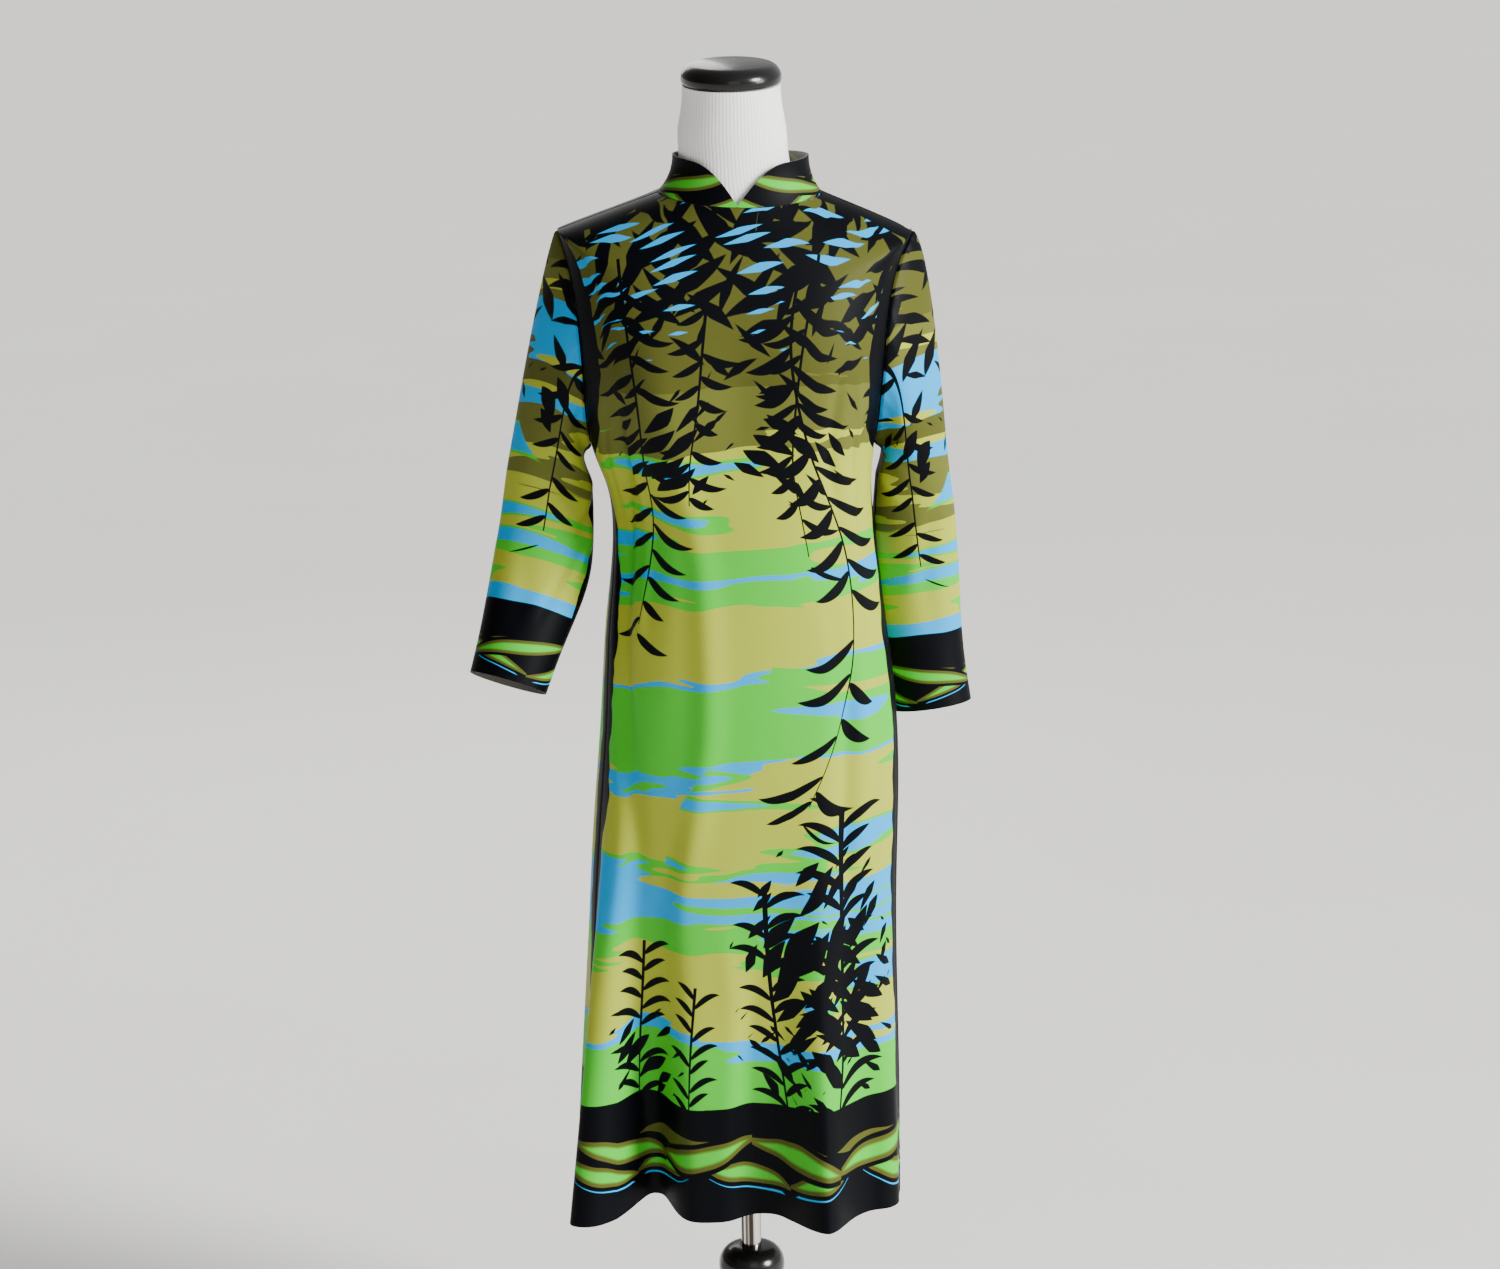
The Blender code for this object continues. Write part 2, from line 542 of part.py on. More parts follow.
def make_form():
    """The torso and neck: rings under the dress, near it at the shoulders, closed by flat ends."""
    rings = [form_ring(dict(zip(FORM_NAMES, row)), 1) for row in FORM]
    places = np.arange(FORM_COLUMNS) / FORM_COLUMNS
    for share, gap in SHOULDER_RINGS:
        rise = SHOULDER + (NECKLINE - SHOULDER) * share
        rings.append(on_ring(rise, places) - facing(rise, places) * (CLOTH + gap))
    for row in NECK:
        neck = dict(zip(NECK_NAMES, row))
        points = form_ring({"left": neck["centre"] - neck["half_width"],
                            "right": neck["centre"] + neck["half_width"],
                            "front": neck["half_depth"], "back": neck["half_depth"], "square": 2.0,
                            "level": neck["level"], "mid_front": neck["level"],
                            "mid_back": neck["level"]}, 0)
        tilt = smoothstep(NECK[0][0], NECK[-1][0], neck["level"])
        points[:, 2] += points[:, 1] * math.tan(CAP_TILT) * tilt
        rings.append(points)
    count = len(rings)
    faces = []
    for r in range(count - 1):
        for c in range(FORM_COLUMNS):
            low, high = r * FORM_COLUMNS, (r + 1) * FORM_COLUMNS
            d = (c + 1) % FORM_COLUMNS
            faces.append([low + c, low + d, high + d, high + c])
    faces.append(list(range(FORM_COLUMNS)))
    faces.append([(count - 1) * FORM_COLUMNS + c for c in range(FORM_COLUMNS)])
    solid("form_body", np.concatenate(rings), faces, KNIT)


def turned(name, profile, look):
    """A solid turned round the Z axis from its half profile, whose ends lie on the axis."""
    vertices = [(0, 0, profile[0][1])]
    for radius, height in profile[1:-1]:
        for k in range(TURN_STEPS):
            turn = 2 * math.pi * k / TURN_STEPS
            vertices.append((radius * math.cos(turn), radius * math.sin(turn), height))
    vertices.append((0, 0, profile[-1][1]))
    last = len(vertices) - 1
    faces = []
    for k in range(TURN_STEPS):
        n = (k + 1) % TURN_STEPS
        faces.append([0, 1 + n, 1 + k])
        for r in range(len(profile) - 3):
            a, b = 1 + r * TURN_STEPS, 1 + (r + 1) * TURN_STEPS
            faces.append([a + k, a + n, b + n, b + k])
        a = 1 + (len(profile) - 3) * TURN_STEPS
        faces.append([a + k, a + n, last])
    return solid(name, vertices, faces, look)


def make_stand():
    turned("base", STAND_PROFILE, LACQUER)
    bottom, top = STAND_PROFILE[-1][1] + SEAM_GAP, FORM[0][0] - SEAM_GAP
    turned("pole", ((0, bottom), (POLE_RADIUS, bottom), (POLE_RADIUS, top), (0, top)), CHROME)
    cap = turned("neck_cap", CAP_PROFILE, LACQUER)
    cap.location = (NECK[-1][1], 0, NECK[-1][0] + SEAM_GAP)
    cap.rotation_euler = (CAP_TILT, 0, 0)


def box(name, middle, size, look):
    """A box in its own frame: across, outwards, up."""
    shape = bmesh.new()
    bmesh.ops.create_cube(shape, size=1)
    for corner in shape.verts:
        corner.co = Vector([m + c * s for m, c, s in zip(middle, corner.co, size)])
    mesh = bpy.data.meshes.new(name)
    shape.to_mesh(mesh)
    shape.free()
    mesh.materials.append(look)
    piece = bpy.data.objects.new(name, mesh)
    bpy.context.scene.collection.objects.link(piece)
    return piece


def rod(name, middle, radius, length, look):
    """A rod along its own first axis."""
    shape = bmesh.new()
    bmesh.ops.create_cone(shape, cap_ends=True, segments=ROD_SIDES, radius1=radius, radius2=radius,
                          depth=length,
                          matrix=Matrix.Translation(middle) @ Matrix.Rotation(math.pi / 2, 4, "Y"))
    mesh = bpy.data.meshes.new(name)
    shape.to_mesh(mesh)
    shape.free()
    mesh.materials.append(look)
    piece = bpy.data.objects.new(name, mesh)
    bpy.context.scene.collection.objects.link(piece)
    return piece


def combine(piece, tool, operation):
    modifier = piece.modifiers.new(operation.lower(), "BOOLEAN")
    modifier.operation = operation
    modifier.object = tool
    tool.hide_render = True
    tool.display_type = "WIRE"
    tool.parent = piece


def make_zip():
    """The slider over the top of the centre back seam, and its pull, whose origin is on the pin."""
    rises = [SHOULDER + (NECKLINE - SHOULDER) * row / SHOULDER_ROWS for row in ZIP_ROWS]
    low, high = [Vector(on_ring(rise, [CENTRE_BACK])[0]) for rise in rises]
    seat = (low + high) / 2
    up = (high - low).normalized()
    out = Vector(facing(sum(rises) / 2, np.array([CENTRE_BACK]))[0])
    out = (out - up * out.dot(up)).normalized()
    across = out.cross(up)
    frame = bpy.data.objects.new("zip_frame", None)
    bpy.context.scene.collection.objects.link(frame)
    turn = Matrix((across, out, up)).transposed().to_4x4()
    frame.matrix_world = Matrix.Translation(seat + out * ZIP_CLEAR) @ turn
    depth = SLIDER["depth"]
    slider = box("zip_slider", (0, depth / 2, 0), (SLIDER["width"], depth, SLIDER["length"]), ZIP_METAL)
    for side in (-1, 1):
        lug = box("lug", (side * LUG["apart"] / 2, depth + LUG["height"] / 2 - LUG["sunk"], PIN["along"]),
                  (LUG["width"], LUG["height"], LUG["length"]), ZIP_METAL)
        combine(slider, lug, "UNION")
    pin = rod("pin", (0, depth + PIN["up"], PIN["along"]), PIN["radius"], LUG["apart"], ZIP_METAL)
    combine(slider, pin, "UNION")
    pull = box("zip_pull", (0, 0, -TAB["length"] / 2), (TAB["width"], TAB["depth"], TAB["length"]), ZIP_METAL)
    knuckle = rod("knuckle", (0, 0, 0), TAB["knuckle"], TAB["width"], ZIP_METAL)
    combine(pull, knuckle, "UNION")
    eye = rod("eye", (0, 0, 0), TAB["eye"], TAB["width"] * 2, ZIP_METAL)
    combine(pull, eye, "DIFFERENCE")
    pull.location = (0, depth + PIN["up"], PIN["along"])
    pull.rotation_euler = (TAB["tilt"], 0, 0)
    slider.parent = frame
    pull.parent = frame


make_front()
make_back("left")
make_back("right")
make_sleeve("left")
make_sleeve("right")
make_collar("left")
make_collar("right")
make_form()
make_stand()
make_zip()
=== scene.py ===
import math
import bpy
import numpy as np
from mathutils import Matrix


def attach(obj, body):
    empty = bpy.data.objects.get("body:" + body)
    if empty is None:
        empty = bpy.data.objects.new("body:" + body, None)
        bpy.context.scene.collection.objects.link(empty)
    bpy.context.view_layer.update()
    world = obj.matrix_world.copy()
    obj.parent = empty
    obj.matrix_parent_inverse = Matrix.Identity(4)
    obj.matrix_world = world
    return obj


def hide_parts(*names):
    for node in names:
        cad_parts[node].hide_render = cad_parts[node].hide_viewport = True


# Dress on a dress form: the looks. Metres, +Z up, the dress faces -Y.
# A place round a ring of the dress runs from 0 at the right side over 0.25, the centre front,
# to 0.5 at the left side, and on over 0.75, the centre back, to 1 at the right side again.

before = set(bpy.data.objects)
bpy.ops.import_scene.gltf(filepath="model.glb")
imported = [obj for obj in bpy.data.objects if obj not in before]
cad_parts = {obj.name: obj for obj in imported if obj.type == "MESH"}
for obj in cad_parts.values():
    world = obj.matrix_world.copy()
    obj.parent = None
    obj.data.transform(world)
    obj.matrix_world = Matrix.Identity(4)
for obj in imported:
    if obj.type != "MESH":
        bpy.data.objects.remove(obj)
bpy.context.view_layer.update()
mainBody = "dress_and_stand"
print("frame loaded")


# Small helpers on arrays

def smoothStep(low, high, value):
    t = np.clip((value - low) / (high - low), 0.0, 1.0)
    return t * t * (3 - 2 * t)


def runningLength(points, axis):
    # the steps between neighbours along one axis, summed up from 0
    steps = np.linalg.norm(np.diff(points, axis=axis), axis=-1)
    return np.insert(np.cumsum(steps, axis=axis), 0, 0, axis=axis)


class Curve:
    # A natural cubic spline through the rows of a table, spaced by some of its columns.
    # The cornered columns may turn a corner at one row.

    def __init__(self, rows, spacing, corner=None, cornered=()):
        self.values = np.array(rows, dtype=float)
        steps = np.linalg.norm(np.diff(self.values[:, spacing], axis=0), axis=1)
        self.knots = np.concatenate([[0], np.cumsum(steps)])
        count = len(self.knots)
        bend = np.eye(count)
        pull = np.zeros_like(self.values)
        for k in range(1, count - 1):
            before, after = steps[k - 1], steps[k]
            bend[k, k - 1:k + 2] = before, 2 * (before + after), after
            pull[k] = 6 * ((self.values[k + 1] - self.values[k]) / after
                           - (self.values[k] - self.values[k - 1]) / before)
        self.bends = np.linalg.solve(bend, pull)
        if corner is not None:
            bend[corner] = np.eye(count)[corner]
            pull[corner] = 0
            self.bends[:, cornered] = np.linalg.solve(bend, pull)[:, cornered]

    def at(self, rise):
        rise = np.clip(rise, 0, self.knots[-1])
        k = np.clip(np.searchsorted(self.knots, rise, side="right") - 1, 0, len(self.knots) - 2)
        step = self.knots[k + 1] - self.knots[k]
        b = ((rise - self.knots[k]) / step)[..., None]
        a = 1 - b
        bent = (a ** 3 - a) * self.bends[k] + (b ** 3 - b) * self.bends[k + 1]
        return a * self.values[k] + b * self.values[k + 1] + bent * step[..., None] ** 2 / 6

    def one(self, rise):
        return self.at(np.array([float(rise)]))[0]


ringPoints = 1440
turns = np.linspace(0, 2 * np.pi, ringPoints + 1)


def oval(part):
    # boxy ellipse: x = centre + half * sign(cos) * |cos|^p, y the same of sin, p = 2 / square
    power = 2 / part["square"]
    across, deep = np.cos(turns), np.sin(turns)
    centre = (part["left"] + part["right"]) / 2
    half = (part["right"] - part["left"]) / 2
    x = centre + half * np.sign(across) * np.abs(across) ** power
    y = np.where(deep > 0, -part["front"], part["back"]) * np.abs(deep) ** power
    middle = np.where(deep > 0, part["midFront"], part["midBack"])
    return np.stack([x, y, part["level"] + (middle - part["level"]) * deep ** 2], axis=1)


def placesRound(points):
    # place = share of the length round the ring, the front and the back half counted apart
    length = runningLength(points, 0)
    half = ringPoints // 2
    front = 0.5 * length / length[half]
    back = 0.5 + 0.5 * (length - length[half]) / (length[-1] - length[half])
    return np.where(np.arange(ringPoints + 1) <= half, front, back), length[-1]


def readRound(place, places, points):
    wrapped = np.asarray(place) % 1.0
    return np.stack([np.interp(wrapped, places, points[:, k]) for k in range(3)], axis=1)


def outward(grid, closed=False):
    # normal = (step up the rows) x (step along the columns), made one unit long
    up = np.gradient(grid, axis=0)
    along = np.roll(grid, -1, axis=1) - np.roll(grid, 1, axis=1) if closed else np.gradient(grid, axis=1)
    out = np.cross(up, along)
    return out / (np.linalg.norm(out, axis=2)[:, :, None] + 1e-12)


def crease(x, z, line):
    # ridge along a slight arc: depth * exp(-(distance / width)^2), fading to both of its ends
    x0, z0, x1, z1, width, depth = line
    dx, dz = x1 - x0, z1 - z0
    long = math.hypot(dx, dz)
    t = ((x - x0) * dx + (z - z0) * dz) / long ** 2
    arc = 0.06 * long * np.sin(np.clip(t, 0, 1) * math.pi) * math.copysign(1, depth)
    off = ((x - x0) * dz - (z - z0) * dx) / long - arc
    fade = smoothStep(-0.05, 0.30, t) * (1 - smoothStep(0.60, 1.05, t))
    return depth * fade * np.exp(-(off / width) ** 2)


# Meshes

def addObject(name, data):
    item = bpy.data.objects.new(name, data)
    bpy.context.scene.collection.objects.link(item)
    return item


def makeObject(name, points, faces, smooth=True):
    mesh = bpy.data.meshes.new(name)
    mesh.from_pydata(points.tolist(), [], faces if isinstance(faces, list) else faces.tolist())
    if smooth:
        mesh.shade_smooth()
        mesh.set_sharp_from_angle(angle=math.radians(50))
    return addObject(name, mesh)


def numbered(rows, columns, closed=False):
    # the point numbers of a grid; a closed one has its first column again as its last
    return np.arange(rows * columns).reshape(rows, columns)[:, np.arange(columns + closed) % columns]


def cells(n):
    # the four corners of every cell of a numbered grid
    return np.stack([n[:-1, :-1], n[1:, :-1], n[1:, 1:], n[:-1, 1:]], axis=2).reshape(-1, 4)


turnedOver = [0, 3, 2, 1]  # the corners of a face in the order that faces it the other way


def wallFaces(n, closed, inner):
    # the grid's cells, the inner ones turned over, and rims between the borders of both; inner is
    # what the number of an inner point adds
    rims = [n[0], n[-1, ::-1]] + ([] if closed else [n[:, -1], n[::-1, 0]])
    rims = [np.stack([k[:-1], k[1:], k[1:] + inner, k[:-1] + inner], axis=1) for k in rims]
    return np.concatenate([cells(n), cells(n)[:, turnedOver] + inner, *rims])


def giveUv(piece, uv):
    layer = piece.data.uv_layers.new(name="cloth")
    layer.data.foreach_set("uv", uv.astype(np.float32).ravel())


def wall(name, grid, thickness, uv, closed=False, edge=None):
    # a closed wall: the grid, and the grid moved in along its normals
    rows, columns = grid.shape[:2]
    inner = grid - outward(grid, closed) * thickness
    points = np.concatenate([grid.reshape(-1, 3), inner.reshape(-1, 3)])
    piece = makeObject(name, points, wallFaces(numbered(rows, columns, closed), closed, rows * columns))
    giveUv(piece, uv.reshape(-1, 2)[wallFaces(numbered(rows, columns + closed), closed, 0).ravel()])
    marks = {"inside": np.repeat([0.0, 1.0], rows * columns)}
    if edge is not None:
        marks["edge"] = np.tile(edge.ravel(), 2)
    for mark, values in marks.items():
        attribute = piece.data.attributes.new(mark, "FLOAT", "POINT")
        attribute.data.foreach_set("value", values.astype(np.float32))
    return piece


def turned(name, profile, sides=128, crisp=()):
    # a solid of revolution: (radius * cos, radius * sin, height) along a smooth half profile that
    # starts and ends on the axis and keeps a corner at the rows named in crisp
    body = np.array(profile[1:-1], dtype=float)
    bounds = [0, *crisp, len(body) - 1]
    runs = []
    for a, b in zip(bounds[:-1], bounds[1:]):
        line = Curve(body[a:b + 1], [0, 1])
        runs.append(line.at(np.linspace(0, line.knots[-1], (b - a) * 4 + 1))[min(a, 1):])
    line = np.concatenate(runs)[:, None]
    angle = np.linspace(0, 2 * np.pi, sides, endpoint=False)
    rings = np.stack([line[..., 0] * np.cos(angle), line[..., 0] * np.sin(angle),
                      np.broadcast_to(line[..., 1], (len(line), sides))], axis=2)
    points = np.concatenate([rings.reshape(-1, 3), [[0, 0, profile[0][1]], [0, 0, profile[-1][1]]]])
    n = numbered(len(line), sides, True)
    foot, head = np.full(sides, len(points) - 2), np.full(sides, len(points) - 1)
    bottom = np.stack([foot, n[0, 1:], n[0, :-1]], axis=1)
    top = np.stack([n[-1, :-1], n[-1, 1:], head], axis=1)
    return makeObject(name, points, cells(n)[:, turnedOver].tolist() + bottom.tolist() + top.tolist())


# Shader sums

def sums(operation, flipped=False):
    # a method that adds one Math node for a wire and the values beside it
    def method(wire, *others):
        values = (*others, wire) if flipped else (wire, *others)
        return wire.graph.add("Math", {"operation": operation}, values)

    return method


class Wire:
    # An output socket. Sums and comparisons on it add Math nodes.

    def __init__(self, graph, node, output=0):
        self.graph, self.node, self.socket = graph, node, node.outputs[output]

    def out(self, output):
        return Wire(self.graph, self.node, output)

    __add__ = __radd__ = sums("ADD")
    __sub__ = sums("SUBTRACT")
    __rsub__ = sums("SUBTRACT", flipped=True)
    __mul__ = __rmul__ = sums("MULTIPLY")
    __truediv__ = sums("DIVIDE")
    __pow__ = sums("POWER")
    __gt__ = sums("GREATER_THAN")
    __lt__ = sums("LESS_THAN")
    __abs__ = sums("ABSOLUTE")
    sine = sums("SINE")
    floor = sums("FLOOR")
    atMost = sums("MINIMUM")
    atLeast = sums("MAXIMUM")

    def step(self, low, high):
        # 0 below low and 1 above high, smooth between
        return self.graph.add("MapRange", {"interpolation_type": "SMOOTHSTEP"},
                              {"Value": self, "From Min": low, "From Max": high})


class Nodes:
    # A node tree whose nodes are added one by one.

    def __init__(self, tree):
        self.tree = tree

    def add(self, kind, settings=None, inputs=(), output=0):
        node = self.tree.nodes.new("ShaderNode" + kind)
        for key, value in (settings or {}).items():
            setattr(node, key, value)
        for key, value in inputs.items() if isinstance(inputs, dict) else enumerate(inputs):
            if isinstance(value, Wire):
                self.tree.links.new(value.socket, node.inputs[key])
            else:
                node.inputs[key].default_value = value
        return Wire(self, node, output)

    def place(self, output="Object"):
        # x of a place, whose outputs 1 and 2 are y and z
        return self.add("SeparateXYZ", {}, [self.add("TexCoord", output=output)])

    def uv(self):
        place = self.add("SeparateXYZ", {}, [self.add("UVMap", {"uv_map": "cloth"})])
        return place, place.out(1)

    def joined(self, x, y):
        return self.add("CombineXYZ", {}, [x, y])

    def noise(self, x, y, detail=2.0):
        return self.add("TexNoise", {"noise_dimensions": "2D"},
                        {"Vector": self.joined(x, y), "Scale": 1.0, "Detail": detail, "Roughness": 0.5})

    def mix(self, share, first, second):
        return self.add("Mix", {"data_type": "RGBA"}, {0: share, 6: first, 7: second}, 2)

    def ramp(self, value, stops, smooth=False):
        wire = self.add("ValToRGB", {}, [value])
        band = wire.node.color_ramp
        band.interpolation = "LINEAR" if smooth else "CONSTANT"
        while len(band.elements) > 1:
            band.elements.remove(band.elements[-1])
        band.elements[0].position, band.elements[0].color = stops[0]
        for at, colour in stops[1:]:
            band.elements.new(at).color = colour
        return wire


class Finish(Nodes):
    # The nodes of a new material. Its constants sit on the shader's own sockets.

    def __init__(self, name, **constants):
        self.material = bpy.data.materials.new(name)
        self.material.use_nodes = True
        super().__init__(self.material.node_tree)
        self.shader = self.tree.nodes["Principled BSDF"]
        for key, value in constants.items():
            self.shader.inputs[key.replace("_", " ")].default_value = value

    def feed(self, socket, wire):
        self.tree.links.new(wire.socket, self.shader.inputs[socket])

    def bump(self, height, strength, distance):
        sockets = {"Height": height, "Strength": strength, "Distance": distance}
        self.feed("Normal", self.add("Bump", {}, sockets))


def paint(red, green, blue):
    # a colour given as it looks on the screen, 0 to 255, made linear
    share = np.array([red, green, blue]) / 255
    return (*np.where(share <= 0.04045, share / 12.92, ((share + 0.055) / 1.055) ** 2.4).tolist(), 1.0)


# The print: waving bands of flat colour under dark leaf sprays, and a leaf garland on the border

inks = {
    "ink": paint(3, 4, 8),
    "olive": paint(76, 79, 30),
    "moss": paint(92, 96, 40),
    "chartreuse": paint(156, 166, 52),
    "green": paint(64, 180, 44),
    "turquoise": paint(0, 152, 216),
}

leafLook = {
    "bends": 9.0,  # of a stem, in radians for each metre
    "curl": 0.64,  # how much of its droop a leaf loses towards its tip
    "shortest": 0.5, "spread": 0.55,  # of the leaves' lengths
    "full": 2.6,  # makes width the greatest value of width * sqrt(s) * (1 - s)
    "wander": 0.3, "missing": 0.2,  # place along the stem in pitches, and share of leaves left out
    "soft": 0.0006, "barkSoft": 0.0003,
}


def leafSpray(f, u, v, low, high, stem, sway, pitch, leaf, width, droop, seed, thick=0.0012):
    # a stem u = stem[0] + stem[1] * v + sway * sin(bends * v), with leaves to both sides; a leaf of
    # half width w * sqrt(s) * (1 - s) leaves the stem in each cell of pitch and hangs by droop
    k = leafLook
    off = u - (stem[0] + stem[1] * v + sway * (k["bends"] * v + seed).sine())
    away = abs(off)
    side = off > 0.0
    leaves = v + droop * away - (k["curl"] * droop / leaf) * away * away + side * (pitch / 2)
    count = leaves / pitch
    cell = count.floor()
    chance = f.add("TexWhiteNoise", {"noise_dimensions": "1D"}, {"W": cell * 1.37 + side * 31.3 + seed})
    share = (away / ((chance * k["spread"] + k["shortest"]) * leaf)).atMost(1.0)
    half = share ** 0.5 * (1.0 - share) * (width * k["full"])
    shift = (chance - 0.5) * (pitch * k["wander"])
    across = abs((count - cell - 0.5) * pitch + shift) * (1 / math.hypot(1, droop))
    body = (half - across).step(0.0, k["soft"]) * (leaves > low) * (leaves < high)
    taper = thick * (0.5 + (v - low) / (high - low))
    bark = (taper - away).step(-k["barkSoft"], k["barkSoft"]) * (v > low) * (v < high)
    return (body * (chance > k["missing"])).atLeast(bark)


def leafScatter(f, u, v, angle, long, wide, size, seed):
    # scattered pointed leaves: cells of a Minkowski Voronoi, stretched long by wide and turned
    c, s = math.cos(angle), math.sin(angle)
    bend = (f.noise(u * 6.0 + seed, v * 6.0, 1.0) - 0.5) * 0.05
    x, y = u * c + v * s, v * c - u * s + bend
    distance = f.add("TexVoronoi", {"voronoi_dimensions": "2D", "feature": "F1", "distance": "MINKOWSKI"},
                     {"Vector": f.joined(x / long + seed, y / wide), "Scale": 1.0, "Exponent": 1.15,
                      "Randomness": 0.9})
    return (size - distance).step(-0.02, 0.02)


def garland(f, u, v, centre, pitch, long, wide, tilt, shift=0.0):
    # leaves in a row, one for each pitch, tilted up and down by turns; gives how deep a point
    # lies in its leaf: 1 on the midrib, 0 on the outline and below 0 outside
    count = (u + shift) / pitch
    cell = count.floor()
    turn = (cell * 0.5 - (cell * 0.5).floor()) * 4.0 - 1.0  # -1 and +1 by turns
    x = (count - cell - 0.5) * pitch
    y = v - centre - turn * (0.12 * wide)
    c, s = math.cos(tilt), math.sin(tilt)
    along, off = x * c + y * turn * s, y * c - x * turn * s
    share = (along / long).atMost(1.0).atLeast(-1.0)
    edge = (1.0 - share * share) ** 1.25 * wide
    return (edge - abs(off - share * share * (0.2 * wide))) / wide


borderLook = {
    # centre, pitch, half length, half width, tilt, shift, whether a streak lies below, and the
    # core's ink; centre and half width are shares of the band's height
    "rows": ((0.78, 0.130, 0.060, 0.130, 0.10, 0.030, False, "olive"),
             (0.27, 0.104, 0.062, 0.170, 0.30, 0.058, True, "green"),
             (0.58, 0.118, 0.078, 0.200, 0.24, 0.000, False, "green")),
    "wave": (23.0, 0.05), "bend": (14.0, 9.0, 0.22), "streakBelow": 0.16,
    # how deep in a leaf each part of it starts and is full
    "margin": (-0.42, -0.34), "rim": (0.0, 0.06), "core": (0.30, 0.62), "streak": (0.35, 0.42),
}


def borderColours(f, u, v, low, high):
    # overlapping leaves on a dark ground, from low to high, each with an olive rim, bent by a wave
    look = borderLook
    height = high - low
    fast, rise = look["wave"]
    uScale, vScale, reach = look["bend"]
    bend = (f.noise(u * uScale, v * vScale, 1.0) - 0.5) * (height * reach)
    straight = v - (u * fast).sine() * (rise * height) - bend
    colour = inks["ink"]
    for centre, pitch, long, wide, tilt, shift, streak, core in look["rows"]:
        shape = (pitch, long, height * wide, tilt, shift)
        leaf = garland(f, u, straight, low + height * centre, *shape)
        if streak:
            under = garland(f, u, straight, low + height * (centre - look["streakBelow"]), *shape)
            colour = f.mix(under.step(*look["streak"]), colour, inks["turquoise"])
        colour = f.mix(leaf.step(*look["margin"]), colour, inks["ink"])
        colour = f.mix(leaf.step(*look["rim"]), colour, inks["olive"])
        colour = f.mix(leaf.step(*look["core"]), colour, inks[core])
    return colour


clothLook = {
    "shine": 0.06,
    "insidePale": 0.45, "insideColour": paint(150, 148, 138),
    # a fine noise: scales along u and v, then the least and the spread of what it changes
    "grain": (900.0, 700.0), "value": (0.96, 0.08), "rough": (0.44, 0.10), "bump": (0.25, 0.0004),
}


def finishCloth(f, colour, u, v):
    # the inside shows the print paler, and a fine knit gives the jersey its grain
    look = clothLook
    inside = f.add("Attribute", {"attribute_name": "inside"}, output="Fac")
    pale = f.mix(look["insidePale"], colour, look["insideColour"])
    colour = f.mix(inside.step(0.4, 0.6), colour, pale)
    grain = f.noise(u * look["grain"][0], v * look["grain"][1], 1.0)
    value = look["value"][0] + grain * look["value"][1]
    f.feed("Base Color", f.add("HueSaturation", {}, {"Color": colour, "Value": value}))
    f.feed("Roughness", look["rough"][0] + grain * look["rough"][1])
    f.bump(grain, *look["bump"])


jerseyLook = {
    # scales along u and v of the noises: slow and quick waves of the bands, the tongues between
    # them, streaks, and the patches that hold these
    "slow": (2.6, 2.0), "quick": (9.0, 16.0), "tongue": (4.2, 34.0), "streak": (3.4, 30.0),
    "patch": (3.0, 3.2),
    "quickShift": 0.02, "tongueShift": 0.075,  # how far they move the bands
    # where the noise turns into patches and into streaks
    "patches": (0.50, 0.51), "greenStreaks": (0.60, 0.61), "blueStreaks": (0.655, 0.665),
    "paleStreaks": (0.66, 0.67),
    "clumpLeaf": (0.055, 0.017), "clumpLeast": 0.03,  # length and width, and the smallest size
    "soft": 0.0005,  # half of the fade at the edge of a dark part
    "stripGrowth": (0.08, 0.03),  # the side strip widens over this height, by this share of a noise
    "borderWander": (0.012, 0.010), "borderMargin": 0.012,
}


